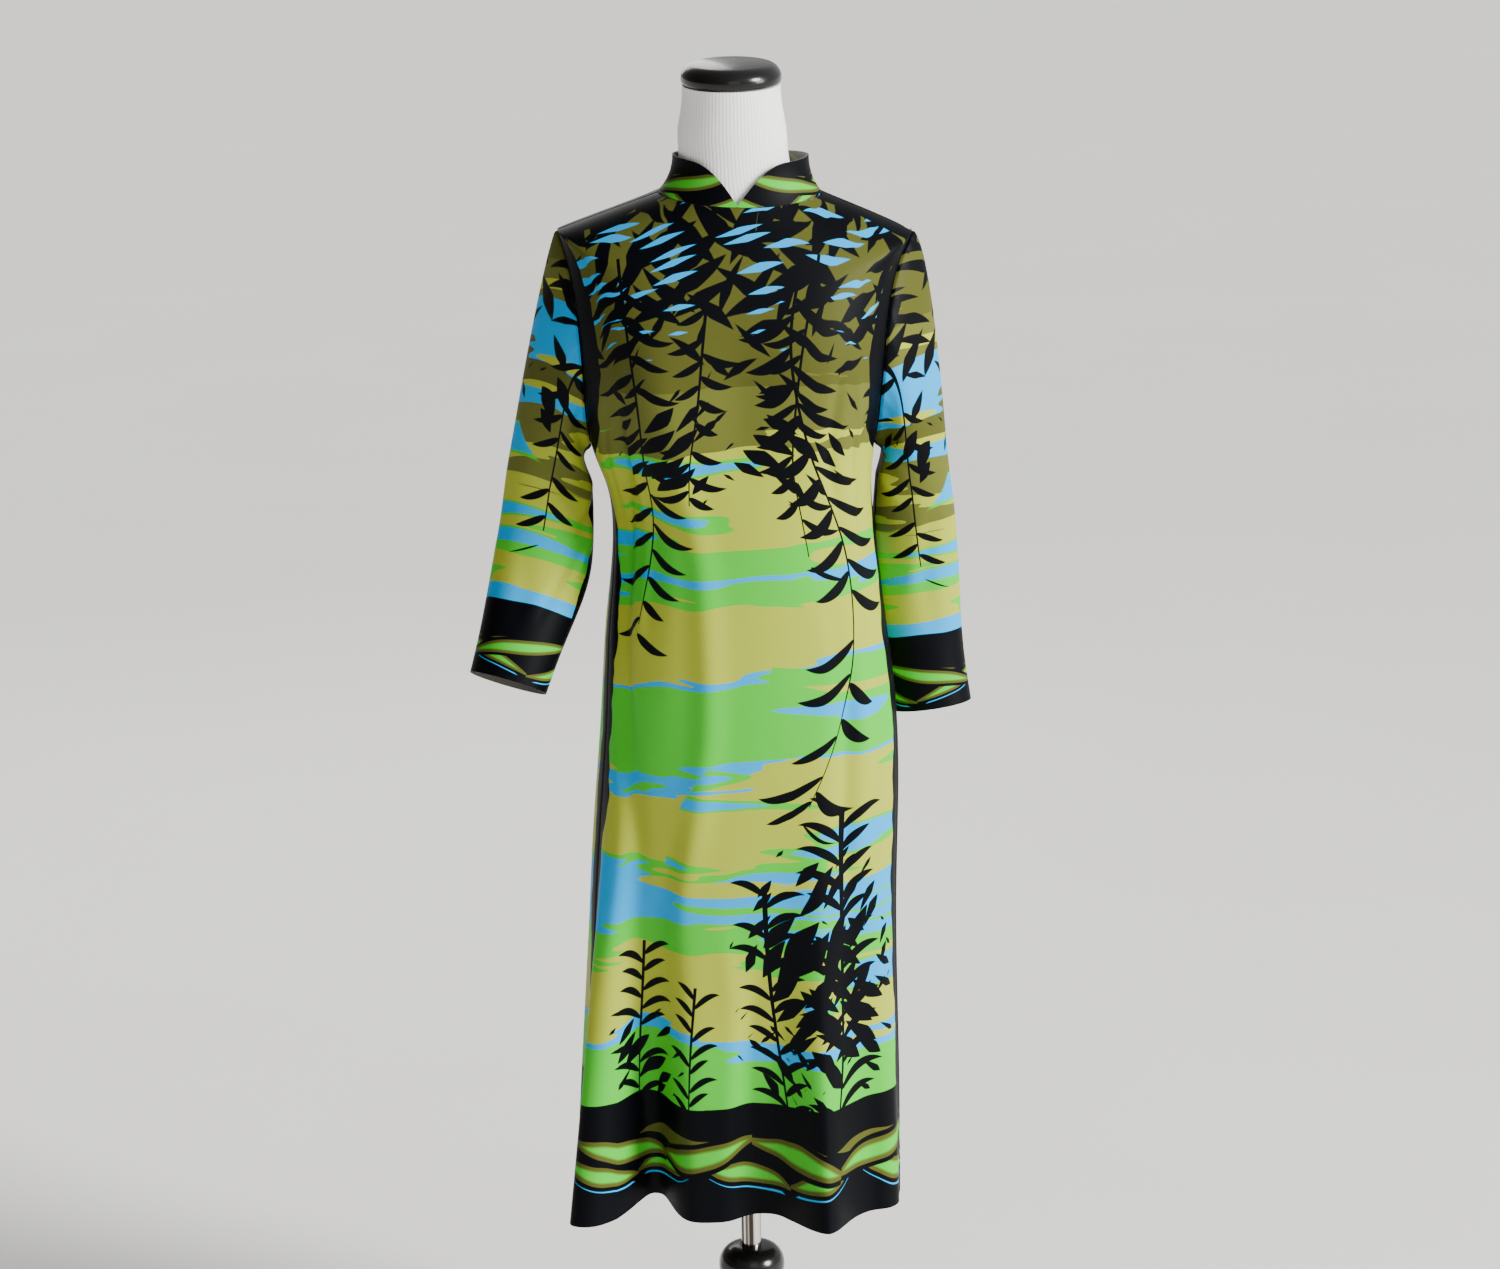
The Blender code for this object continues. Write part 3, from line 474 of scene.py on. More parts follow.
def printedJersey(name, layout):
    f = Finish(name, Specular_IOR_Level=clothLook["shine"])
    look, seed, soft = jerseyLook, layout["seed"], jerseyLook["soft"]
    u, v = f.uv()
    slow = f.noise(u * look["slow"][0] + seed, v * look["slow"][1])
    quick = f.noise(u * look["quick"][0] + seed, v * look["quick"][1])
    tongue = f.noise(u * look["tongue"][0] - seed, v * look["tongue"][1])
    level = v + (slow - 0.5) * layout["wave"]
    level = level + (quick - 0.5) * look["quickShift"] + (tongue - 0.5) * look["tongueShift"]
    stops = [(0.0, inks["olive"])] + [(at / layout["top"], inks[ink]) for at, ink in layout["bands"]]
    colour = f.ramp(level / layout["top"], stops)
    streak = f.noise(u * look["streak"][0] + 5.0, v * look["streak"][1] + seed, 1.0)
    patch = f.noise(u * look["patch"][0] + 9.0, v * look["patch"][1] + seed, 0.0)
    low, high = layout["streaks"]
    zone = (v > low) * (v < high)
    held = patch.step(*look["patches"]) * zone
    colour = f.mix(streak.step(*look["greenStreaks"]) * held, colour, inks["green"])
    colour = f.mix(streak.step(*look["blueStreaks"]) * held, colour, inks["turquoise"])
    colour = f.mix((1.0 - streak).step(*look["paleStreaks"]) * zone, colour, inks["chartreuse"])
    for angle, long, wide, size, itsSeed, fromV, full, ink in layout["scatters"]:
        grow = (v - fromV) / (full - fromV)
        reach = grow.atMost(1.0).atLeast(0.0) * size
        mask = leafScatter(f, u, v, angle, long, wide, reach, itsSeed) * (v > fromV)
        colour = f.mix(mask, colour, inks[ink])
    for uMiddle, vMiddle, across, up, angle, size, itsSeed in layout["clumps"]:
        # leaves thin out from the middle of each clump: size * (1 - distance^2)
        x, y = (u - uMiddle) / across, (v - vMiddle) / up
        reach = (1.0 - x * x - y * y).atLeast(0.0) * size
        leaves = leafScatter(f, u, v, angle, *look["clumpLeaf"], reach, itsSeed)
        leaves = leaves * (reach > look["clumpLeast"])
        colour = f.mix(leaves, colour, inks["ink"])
    for spray in layout["sprays"]:
        colour = f.mix(leafSpray(f, u, v, *spray), colour, inks["ink"])
    edge = f.add("Attribute", {"attribute_name": "edge"}, output="Fac")
    width, wander, armpitV = layout["strip"]
    over, growth = look["stripGrowth"]
    width = width + quick * wander + (v - armpitV).step(0.0, over) * (slow * growth)
    colour = f.mix((width - edge).step(-soft, soft), colour, inks["ink"])
    low, high, top = layout["border"]
    wanderSlow, wanderQuick = look["borderWander"]
    top = top + (slow - 0.5) * wanderSlow + (quick - 0.5) * wanderQuick
    colour = f.mix((top - v).step(-soft, soft), colour, inks["ink"])
    inBand = (v > low - look["borderMargin"]) * (v < high + look["borderMargin"])
    colour = f.mix(inBand, colour, borderColours(f, u, v, low, high))
    finishCloth(f, colour, u, v)
    return f.material


bodyPrint = {
    "seed": 3.1, "wave": 0.10, "top": 1.15, "border": (0.032, 0.102, 0.132), "strip": (0.005, 0.020, 0.80),
    "bands": [(0.060, "green"), (0.190, "turquoise"), (0.205, "chartreuse"), (0.290, "green"),
              (0.315, "turquoise"), (0.385, "green"), (0.395, "chartreuse"), (0.500, "turquoise"),
              (0.508, "green"), (0.610, "turquoise"), (0.618, "chartreuse"), (0.700, "green"),
              (0.722, "turquoise"), (0.740, "green"), (0.765, "chartreuse"), (0.870, "moss"),
              (0.925, "olive")],
    # middle u and v, reach across and up, angle, size, seed
    "clumps": [(0.075, 0.300, 0.105, 0.150, 0.9, 0.62, 3.3), (0.110, 0.235, 0.080, 0.130, -0.6, 0.60, 6.8),
               (-0.130, 0.180, 0.060, 0.060, 0.7, 0.50, 9.4), (0.030, 0.180, 0.050, 0.050, -0.9, 0.45, 1.9),
               (-0.075, 0.860, 0.075, 0.070, 0.8, 0.55, 5.1),
               (0.060, 0.850, 0.090, 0.060, -0.7, 0.52, 8.2)],
    "streaks": (0.22, 0.88),
    "scatters": [(0.5, 0.10, 0.026, 0.40, 1.7, 0.84, 1.04, "ink"),
                 (-0.7, 0.11, 0.028, 0.42, 4.3, 0.86, 1.06, "ink"),
                 (1.2, 0.12, 0.024, 0.40, 2.6, 0.92, 1.08, "ink"),
                 (0.2, 0.09, 0.016, 0.27, 7.9, 0.94, 1.04, "turquoise")],
    "sprays": [(0.66, 1.06, (-0.150, 0.03), 0.024, 0.031, 0.050, 0.0042, 0.9, 0.4),
               (0.47, 1.04, (0.025, 0.07), 0.040, 0.035, 0.058, 0.0050, 1.1, 2.0),
               (0.74, 1.06, (0.090, -0.02), 0.018, 0.027, 0.044, 0.0040, 1.0, 3.7),
               (0.80, 1.02, (-0.070, 0.02), 0.016, 0.026, 0.042, 0.0040, 0.8, 5.2),
               (0.11, 0.46, (0.090, 0.04), 0.014, 0.026, 0.056, 0.0042, -1.1, 6.6, 0.0026),
               (0.11, 0.38, (0.060, -0.12), 0.008, 0.024, 0.044, 0.0038, -1.0, 8.8, 0.0020),
               (0.11, 0.27, (-0.070, 0.04), 0.006, 0.019, 0.032, 0.0030, -1.3, 9.9),
               (0.11, 0.31, (-0.150, 0.06), 0.010, 0.021, 0.040, 0.0034, -1.1, 11.2)],
}
sleevePrint = {
    "seed": 8.4, "wave": 0.06, "top": 0.60, "border": (0.014, 0.052, 0.084), "strip": (0.006, 0.018, 0.34),
    "clumps": [(0.065, 0.300, 0.030, 0.045, 0.8, 0.50, 2.9), (0.190, 0.260, 0.028, 0.040, -0.7, 0.48, 7.7)],
    "bands": [(0.060, "turquoise"), (0.098, "chartreuse"), (0.128, "green"), (0.150, "chartreuse"),
              (0.200, "moss"), (0.230, "chartreuse"), (0.262, "moss"), (0.300, "turquoise"),
              (0.312, "olive"), (0.350, "turquoise"), (0.405, "moss"), (0.450, "olive")],
    "streaks": (0.10, 0.46),
    "scatters": [(0.9, 0.09, 0.024, 0.42, 2.2, 0.24, 0.46, "ink"),
                 (-0.5, 0.08, 0.022, 0.42, 6.1, 0.30, 0.50, "ink")],
    "sprays": [(0.16, 0.52, (0.050, 0.05), 0.014, 0.029, 0.040, 0.0036, 1.0, 1.1),
               (0.13, 0.50, (0.195, 0.02), 0.012, 0.027, 0.040, 0.0038, 1.1, 6.2)],
}
bodyCloth = printedJersey("printed jersey of the body", bodyPrint)
sleeveCloth = printedJersey("printed jersey of the sleeves", sleevePrint)


def collarJersey():
    f = Finish("printed jersey of the collar", Specular_IOR_Level=clothLook["shine"])
    u, v = f.uv()
    colour = borderColours(f, u, v, -0.004, 0.036)
    rim = (v - 0.0335 + (u * 60.0).sine() * 0.002).step(-0.0004, 0.0004)
    finishCloth(f, f.mix(rim, colour, inks["ink"]), u, v)
    return f.material


collarCloth = collarJersey()


def ribbedKnit():
    # fine upright ribs: the height is |sin| of the distance round the neck; the grooves between them are
    # painted darker, a painted shade
    f = Finish("white ribbed knit", Roughness=0.75, Sheen_Weight=0.25, Sheen_Roughness=0.6)
    u, v = f.uv()
    rib = abs((u * (math.pi / 0.0038)).sine())
    loop = f.noise(u * 500.0, v * 420.0, 1.0)
    # painted shade: the colour darkens from the ribs' crests into their grooves, and the loop noise adds
    # random tone
    f.feed("Base Color", f.mix(rib * 0.75 + loop * 0.25, paint(226, 225, 224), paint(252, 252, 253)))
    f.bump(rib * 0.8 + loop * 0.2, 0.4, 0.0005)
    return f.material


def lacquer():
    f = Finish("black lacquered wood", Specular_IOR_Level=0.25, Coat_Weight=0.25, Coat_Roughness=0.08)
    place = f.place()
    grain = f.noise(place * 30.0, place.out(2) * 220.0, 3.0)
    f.feed("Base Color", f.mix(grain, paint(8, 8, 9), paint(18, 16, 16)))
    f.feed("Roughness", 0.16 + grain * 0.16)
    return f.material


def chromedSteel():
    # soft streaks of painted reflection, dark and bright, run along the tube: they depend on x and y alone
    f = Finish("chromed steel", Metallic=1.0, Roughness=0.14)
    place = f.place()
    streak = f.noise(place * 230.0 + 4.0, place.out(1) * 230.0, 1.0)
    # painted reflection: dark brown and bright bands stand in for the room and the window mirrored in the
    # tube
    f.feed("Base Color", f.mix(streak.step(0.40, 0.62), paint(66, 56, 50), paint(222, 221, 218)))
    return f.material


def satinNickel():
    # fine level scratches darken the metal and make it rougher
    f = Finish("satin nickel", Metallic=1.0)
    place = f.place()
    mark = f.noise(place * 300.0, place.out(2) * 900.0)
    bright = paint(186, 182, 172)
    dark = (*(0.8 * share for share in bright[:3]), 1.0)
    f.feed("Base Color", f.mix(mark, bright, dark))
    f.feed("Roughness", 0.28 + mark * 0.12)
    return f.material


knitCover = ribbedKnit()
blackLacquer = lacquer()
chrome = chromedSteel()
nickel = satinNickel()
print("materials made")


def dressUp(piece, node, look):
    # a piece gets its material, joins the main body and hides its part of the frame; cut, in the shape
    # tables, is the width, length and area of what shows of a piece of cloth, laid flat
    piece.data.materials.append(look)
    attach(piece, mainBody)
    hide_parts(node)


# The dress's rings

dressShape = {
    "names": ("level", "left", "right", "front", "back", "square", "midFront", "midBack",
              "seamLeft", "seamRight"),
    "rings": (
        (0.284, -0.180, 0.164, 0.094, 0.100, 2.90, 0.284, 0.284, -0.040, -0.030),
        (0.440, -0.176, 0.164, 0.097, 0.102, 2.75, 0.440, 0.440, -0.040, -0.030),
        (0.630, -0.167, 0.163, 0.101, 0.106, 2.50, 0.630, 0.630, -0.038, -0.030),
        (0.740, -0.158, 0.166, 0.104, 0.109, 2.40, 0.740, 0.740, -0.036, -0.030),
        (0.840, -0.149, 0.164, 0.107, 0.110, 2.30, 0.840, 0.840, -0.034, -0.028),
        (0.940, -0.141, 0.153, 0.110, 0.103, 2.25, 0.940, 0.940, -0.028, -0.022),
        (1.035, -0.132, 0.143, 0.112, 0.094, 2.20, 1.035, 1.035, -0.016, -0.014),
        (1.080, -0.137, 0.140, 0.114, 0.094, 2.20, 1.080, 1.080, -0.006, -0.006),
        (1.120, -0.151, 0.143, 0.116, 0.097, 2.20, 1.118, 1.119, 0.000, 0.000),
        (1.160, -0.157, 0.147, 0.118, 0.102, 2.25, 1.150, 1.153, 0.000, 0.000),
        (1.240, -0.161, 0.152, 0.118, 0.109, 2.30, 1.206, 1.214, 0.000, 0.000),
        (1.320, -0.172, 0.168, 0.112, 0.106, 2.25, 1.266, 1.288, 0.000, 0.000),
        (1.348, -0.181, 0.185, 0.102, 0.100, 2.15, 1.304, 1.330, 0.000, 0.000),
        (1.368, -0.128, 0.140, 0.084, 0.081, 2.05, 1.346, 1.366, 0.000, 0.000),
        (1.387, -0.077, 0.093, 0.064, 0.062, 2.00, 1.381, 1.397, 0.000, 0.000),
    ),
    "armpitRow": 8, "shoulderRow": 12, "sideColumns": [0, 1, 2],
    "armhole": {"front": 0.058, "back": 0.060, "power": 0.72},
    "lean": 0.028, "leanFrom": 0.95, "leanFull": 1.25,
    "hemRise": 0.16, "hemRiseTop": 0.60,
    "cloth": 0.0013, "seamGap": 0.0003,
    "cut": {"front": (0.57, 1.23, 0.455), "back": (0.36, 1.23, 0.272)},
    # place, placeTop, width, out, top, growth, edge
    "folds": (
        (0.425, 0.422, 0.022, 0.048, 0.84, 1.6, 3.4),
        (0.375, 0.380, 0.038, -0.058, 0.88, 1.8, 2.7),
        (0.227, 0.240, 0.036, -0.016, 0.66, 1.4, 3.1),
        (0.163, 0.170, 0.031, 0.046, 0.90, 1.7, 1.7),
        (0.071, 0.078, 0.020, 0.009, 0.70, 1.4, 2.6),
        (0.510, 0.500, 0.028, -0.010, 0.70, 1.3, 2.0),
        (0.570, 0.570, 0.030, 0.026, 0.84, 1.4, 2.0),
        (0.645, 0.650, 0.030, -0.044, 0.86, 1.6, 2.4),
        (0.725, 0.735, 0.032, 0.030, 0.84, 1.4, 2.0),
        (0.800, 0.795, 0.028, -0.036, 0.80, 1.6, 2.2),
        (0.872, 0.860, 0.030, 0.026, 0.86, 1.4, 2.0),
        (0.945, 0.940, 0.026, -0.010, 0.66, 1.3, 2.0),
    ),
    # place, height, width, reach, out
    "swells": (
        (0.152, 1.190, 0.052, 0.090, 0.008),
        (0.348, 1.190, 0.052, 0.090, 0.008),
        (0.250, 1.190, 0.034, 0.070, -0.004),
        (0.352, 1.060, 0.022, 0.110, 0.003),
        (0.390, 1.080, 0.022, 0.110, -0.005),
        (0.108, 1.100, 0.022, 0.090, 0.002),
        (0.072, 1.110, 0.022, 0.090, -0.004),
        (0.250, 0.820, 0.110, 0.130, 0.003),
        (0.660, 1.230, 0.060, 0.090, 0.005),
        (0.840, 1.230, 0.060, 0.090, 0.005),
        (0.750, 1.060, 0.035, 0.100, -0.005),
    ),
    # soft creases, as distance round from the centre front and height of both ends, half width and
    # depth in metres: below 0 is a trough
    "creases": (
        (0.082, 1.250, 0.092, 0.560, 0.016, 0.0058),
        (0.106, 1.240, 0.114, 0.620, 0.013, -0.0080),
        (0.124, 1.225, 0.130, 0.900, 0.007, 0.0040),
        (0.136, 1.190, 0.144, 0.960, 0.006, -0.0030),
        (-0.110, 1.235, -0.100, 1.040, 0.007, -0.0036),
        (-0.124, 1.225, -0.114, 1.020, 0.006, 0.0030),
        (-0.138, 1.200, -0.130, 1.040, 0.005, -0.0030),
        (-0.150, 1.190, -0.144, 1.040, 0.005, 0.0022),
        (-0.092, 1.000, -0.104, 0.600, 0.014, 0.0030),
        (-0.118, 0.960, -0.128, 0.560, 0.010, -0.0030),
        (-0.060, 1.000, -0.070, 0.790, 0.014, 0.0012),
        (0.030, 0.640, 0.036, 0.310, 0.014, 0.0024),
        (-0.020, 0.600, -0.012, 0.330, 0.012, -0.0022),
        (-0.120, 0.700, -0.126, 0.420, 0.012, -0.0024),
        (0.070, 0.760, 0.078, 0.480, 0.012, -0.0022),
        (0.150, 0.820, 0.168, 0.500, 0.013, 0.0022),
        (0.300, 1.215, 0.290, 1.020, 0.010, -0.0026),
        (0.620, 1.215, 0.635, 1.020, 0.010, -0.0026),
        (0.420, 1.080, 0.500, 1.060, 0.010, 0.0020),
        (0.420, 1.050, 0.500, 1.032, 0.008, -0.0020),
        (0.360, 0.780, 0.350, 0.420, 0.014, -0.0024),
        (0.560, 0.760, 0.570, 0.400, 0.014, 0.0022),
    ),
    # rows of the skirt, the armhole and the shoulder; columns of each panel, about how wide it is,
    # and how far from its edges the seams' own columns are
    "rows": (200, 76, 26), "columns": {"front": 136, "back": 76}, "width": {"front": 0.45, "back": 0.25},
    "nearSeam": (0, 0.001, 0.0025, 0.005, 0.010),
    # depth and reach of the roll at a seam
    "seamRoll": (0.0009, 0.0014),
    # passes, reach in rows, pull and the shares over which it fades to an edge
    "shoulderSoft": (30, 14.0, 0.6, (0.02, 0.16)),
}
dress = Curve(dressShape["rings"], [0, 1, 2, 3], dressShape["shoulderRow"], dressShape["sideColumns"])
armpit = dress.knots[dressShape["armpitRow"]]
shoulder = dress.knots[dressShape["shoulderRow"]]
neckline = dress.knots[-1]


def relief(place, height, size):
    # how far the cloth stands out of its ring: folds, swells and creases added up
    shape = dressShape
    hem = shape["rings"][0][0]
    out = np.zeros_like(place)
    for at, atTop, width, depth, top, growth, edge in shape["folds"]:
        share = np.clip((top - height) / (top - hem), 0, 1)
        away = (place - at * share - atTop * (1 - share) + 0.5) % 1.0 - 0.5
        out += depth * share ** growth * np.exp(-np.abs(away / width) ** edge)
    for at, level, width, reach, depth in shape["swells"]:
        away = (place - at + 0.5) % 1.0 - 0.5
        out += depth * np.exp(-(away / width) ** 2 - ((height - level) / reach) ** 2)
    around = ((place - 0.25) % 1.0) * size
    around = np.where(around > size * 0.75, around - size, around)
    for line in shape["creases"]:
        out += crease(around, height, line)
    return out


def armholeCut(rise, face):
    share = np.clip((rise - armpit) / (shoulder - armpit), 0, 1)
    return dressShape["armhole"][face] * math.sin(math.pi * share) ** dressShape["armhole"]["power"]


def leanOver(points):
    # the form leans: above the waist, z falls by lean * x
    full = smoothStep(dressShape["leanFrom"], dressShape["leanFull"], points[:, 2])
    points[:, 2] -= dressShape["lean"] * points[:, 0] * full


def ring(rise):
    # one ring: its section widened where the armhole opens, pushed out by the relief, then leant
    shape = dressShape
    part = dict(zip(shape["names"], dress.one(rise)))
    centre = (part["left"] + part["right"]) / 2
    opened = (1 - (armholeCut(rise, "front") / part["front"]) ** part["square"]) ** (1 / part["square"])
    part["left"] = centre + (part["left"] - centre) / opened
    part["right"] = centre + (part["right"] - centre) / opened
    points = oval(part)
    places, size = placesRound(points)
    along = np.gradient(points, axis=0)
    along[0] = along[-1] = points[1] - points[-2]
    out = np.stack([-along[:, 1], along[:, 0], np.zeros(len(along))], axis=1)
    out /= np.linalg.norm(out, axis=1)[:, None] + 1e-12
    stand = relief(places, points[:, 2], size)
    points = points + out * stand[:, None]
    fade = 1 - smoothStep(part["level"], shape["hemRiseTop"], points[:, 2])
    points[:, 2] += shape["hemRise"] * np.maximum(-stand, 0) * fade
    leanOver(points)
    return places, points, size, part


def edgePlace(rise, side, face, around):
    # where round the ring a panel ends: at the side seam, the armhole's edge or the shoulder seam
    places, _, size, part = around
    cut = armholeCut(rise, face)
    seam = part["seam" + side.capitalize()]
    y = (seam if rise < armpit else 0.0) + (-cut if face == "front" else cut)
    deep = part["front"] if y < 0 else part["back"]
    turn = math.asin(min(1.0, (abs(y) / deep) ** (part["square"] / 2))) * (1 if y < 0 else -1)
    if side == "left":
        turn = math.pi - turn
    at = np.interp(turn % (2 * math.pi), turns, places)
    if side == "right" and face == "front" and at > 0.5:
        at -= 1
    if side == "right" and face == "back" and at < 0.5:
        at += 1
    inward = 1 if (side == "right") == (face == "front") else -1
    return at + inward * dressShape["seamGap"] / 2 / size


def dressRises():
    skirt, armhole, top = dressShape["rows"]
    turn = np.linspace(0, math.pi, armhole + 1)[1:]
    return np.concatenate([np.linspace(0, armpit, skirt + 1),
                           armpit + (shoulder - armpit) * (1 - np.cos(turn)) / 2,
                           np.linspace(shoulder, neckline, top + 1)[1:]])


def crowded(face):
    # shares from 0 to 1 across a panel, closer at both ends, for the seams' roll
    near = np.array(dressShape["nearSeam"]) / dressShape["width"][face]
    inner = np.linspace(near[-1], 1 - near[-1], dressShape["columns"][face] + 3 - 2 * len(near))
    return np.concatenate([near[:-1], inner, 1 - near[-2::-1]])


def panel(face, centre, first, last):
    # a panel between two edges; centre is the share across at the front's middle or the back's
    # seam. UV in metres, across from there and up from the hem; edge is the way to a side seam.
    shares = crowded(face)
    grid = []
    for rise in dressRises():
        around = ring(rise)
        start, end = first(rise, around), last(rise, around)
        grid.append(readRound(start + (end - start) * shares, around[0], around[1]))
    grid = np.array(grid)
    # the shoulder ring's corner is smoothed, less towards a front's edges and a back's first edge
    passes, reach, pull, fade = dressShape["shoulderSoft"]
    corner = sum(dressShape["rows"][:2])
    keep = smoothStep(*fade, np.minimum(shares, 1 - shares) if face == "front" else shares)
    near = np.exp(-((np.arange(len(grid)) - corner) / reach) ** 2)[:, None] * keep[None]
    for _ in range(passes):
        soft = grid.copy()
        soft[1:-1] = (grid[:-2] + grid[2:]) / 2
        grid += (soft - grid) * near[:, :, None] * pull
    across, up = runningLength(grid, 1), runningLength(grid[:, :, 1:], 0)
    rest = across[:, -1:] - across
    seams = np.minimum(across, rest)
    edge = {0.5: seams, 1: across, 0: rest}[centre]
    fromCentre = across - across[:, [int(centre * (len(shares) - 1))]]
    uv = np.stack([fromCentre * (-1 if face == "front" else 1), up], axis=2)
    depth, reach = dressShape["seamRoll"]
    grid -= outward(grid) * (depth * np.exp(-(seams / reach) ** 2))[:, :, None]
    return grid, uv, edge


def reportCut(name, grid):
    # the greatest width and length of a flat piece, and its area as two triangles for each cell
    wide, tall = runningLength(grid, 1)[:, -1].max(), runningLength(grid, 0)[-1].max()
    area = 0
    for corner, a, b in ((grid[:-1, :-1], grid[1:, :-1], grid[:-1, 1:]),
                         (grid[1:, 1:], grid[1:, :-1], grid[:-1, 1:])):
        area += np.linalg.norm(np.cross(a - corner, b - corner), axis=2).sum() / 2
    print("cut of", name, round(wide, 3), "x", round(tall, 3), "m,", round(area, 4), "m2")


def sideEdge(side, face):
    return lambda rise, around: edgePlace(rise, side, face, around)


def backSeam(sign):
    return lambda rise, around: 0.75 + sign * dressShape["seamGap"] / 2 / around[2]


def makePanel(name, node, centre, first, last):
    face = node.split("_")[0]
    grid, uv, edge = panel(face, centre, first, last)
    reportCut(node, grid)
    piece = wall(name, grid, dressShape["cloth"], uv, edge=edge)
    dressUp(piece, node, bodyCloth)


makePanel("dressFront", "front", 0.5, sideEdge("right", "front"), sideEdge("left", "front"))
makePanel("dressBackLeft", "back_left", 1, sideEdge("left", "back"), backSeam(-1))
makePanel("dressBackRight", "back_right", 0, backSeam(1), sideEdge("right", "back"))
print("front and backs made")


# Sleeves

sleeveShape = {
    # centre x, y, z, half width and half depth of each ring below the armpit
    "left": ((-0.1965, 0.002, 1.085, 0.0455, 0.034), (-0.2005, -0.001, 1.040, 0.0490, 0.035),
             (-0.2070, -0.008, 1.000, 0.0515, 0.036), (-0.2195, -0.021, 0.960, 0.0485, 0.036),
             (-0.2335, -0.037, 0.921, 0.0440, 0.036), (-0.2466, -0.052, 0.884, 0.0415, 0.035)),
    "right": ((0.1848, 0.011, 1.080, 0.0392, 0.034), (0.1868, 0.027, 1.035, 0.0432, 0.034),
              (0.1895, 0.043, 0.990, 0.0450, 0.034), (0.1950, 0.052, 0.935, 0.0440, 0.034),
              (0.2007, 0.053, 0.875, 0.0423, 0.034), (0.2075, 0.048, 0.817, 0.0430, 0.034)),
    "capOut": (0.80, -0.30), "capPull": {"left": 0.035, "right": 0.080},
    "pitOut": (0.95, -0.30), "pitPull": 0.50, "armPull": 0.80, "seamGaps": 1.6, "capCrowd": 1.25,
    "armholeRows": 60, "capRings": 56, "armRings": 80, "girth": 0.25, "cut": (0.36, 0.53, 0.107),
    # height, number and reach of the puckers below the armhole, then depth and reach of its roll
    "puckers": (0.0007, 31, 0.010), "seamRoll": (0.0011, 0.0016),
    # creases: share round from the underarm over the front, distance up from the cuff, of both ends,
    # half width and depth in metres
    "creases": {
        "left": ((0.00, 0.230, 0.21, 0.060, 0.0060, -0.0046), (0.05, 0.235, 0.26, 0.070, 0.0090, 0.0034),
                 (0.02, 0.205, 0.22, 0.150, 0.007, -0.0022), (0.03, 0.180, 0.20, 0.130, 0.006, 0.0020),
                 (0.04, 0.235, 0.26, 0.200, 0.008, -0.0026), (0.05, 0.260, 0.30, 0.250, 0.010, 0.0020),
                 (0.90, 0.200, 0.72, 0.160, 0.008, -0.0024), (0.10, 0.330, 0.20, 0.440, 0.008, -0.0022),
                 (0.16, 0.320, 0.28, 0.450, 0.008, 0.0018), (0.93, 0.330, 0.84, 0.430, 0.009, -0.0022),
                 (0.40, 0.080, 0.46, 0.280, 0.010, 0.0014), (0.30, 0.040, 0.33, 0.150, 0.009, -0.0014)),
        "right": ((0.04, 0.330, 0.24, 0.280, 0.008, -0.0026), (0.05, 0.300, 0.22, 0.235, 0.007, 0.0022),
                  (0.08, 0.380, 0.20, 0.490, 0.008, -0.0024), (0.15, 0.370, 0.28, 0.500, 0.008, 0.0018),
                  (0.94, 0.300, 0.74, 0.250, 0.009, -0.0022), (0.30, 0.060, 0.36, 0.260, 0.010, -0.0016),
                  (0.44, 0.100, 0.40, 0.330, 0.012, 0.0014), (0.20, 0.120, 0.24, 0.260, 0.009, 0.0016)),
    },
}


def armRing(table, side, rise, around):
    # an ellipse square to the arm, from the underarm up its front
    here = table.one(rise)
    down = table.one(rise + 0.01)[:3] - table.one(rise - 0.01)[:3]
    down /= np.linalg.norm(down)
    out = np.array([-1.0 if side == "left" else 1.0, 0, 0])
    across = out - down * (out @ down)
    across /= np.linalg.norm(across)
    ahead = np.cross(down, across)
    ahead *= -np.sign(ahead[1])
    points = (here[:3] - across * here[3] * np.cos(around)[:, None]
              + ahead * here[4] * np.sin(around)[:, None])
    return points, down


def sleeveGrid(side):
    # rings from the armhole to the armpit on a Hermite curve, then down the arm to the cuff
    s = sleeveShape
    sign = -1.0 if side == "left" else 1.0
    turn = np.linspace(0, math.pi, s["armholeRows"] + 1)
    rises = armpit + (shoulder - armpit) * (1 - np.cos(turn)) / 2
    seam = []
    for face, run in (("front", rises), ("back", rises[-2:0:-1])):
        for rise in run:
            around = ring(rise)
            seam.append(readRound([edgePlace(rise, side, face, around)], around[0], around[1])[0])
    seam = np.array(seam)
    share = (np.concatenate([turn, turn[-2:0:-1]]) / math.pi)[:, None]
    table = Curve(s[side], [0, 1, 2])
    around = np.linspace(0, 2 * np.pi, len(seam), endpoint=False)
    first, down = armRing(table, side, 0, around)
    leave = ((1 - share) * np.array([sign * s["pitOut"][0], 0, s["pitOut"][1]])
             + share * np.array([sign * s["capOut"][0], 0, s["capOut"][1]]))
    leave /= np.linalg.norm(leave, axis=1)[:, None]
    start = seam + leave * dressShape["seamGap"] * s["seamGaps"]
    way = first - start
    reach = np.linalg.norm(way, axis=1)[:, None]
    arrive = (down + way / reach) / 2
    pull = s["pitPull"] * (1 - share) ** 2 + s["capPull"][side] * share
    t = np.linspace(0, 1, s["capRings"] + 1)[:-1, None, None] ** s["capCrowd"]
    cap = (start * (1 + 2 * t) * (1 - t) ** 2 + first * t ** 2 * (3 - 2 * t)
           + 3 * pull * reach * leave * t * (1 - t) ** 2 + s["armPull"] * reach * arrive * t ** 2 * (t - 1))
    arm = np.array([armRing(table, side, rise, around)[0]
                    for rise in np.linspace(0, table.knots[-1], s["armRings"] + 1)])
    return np.concatenate([cap, arm])


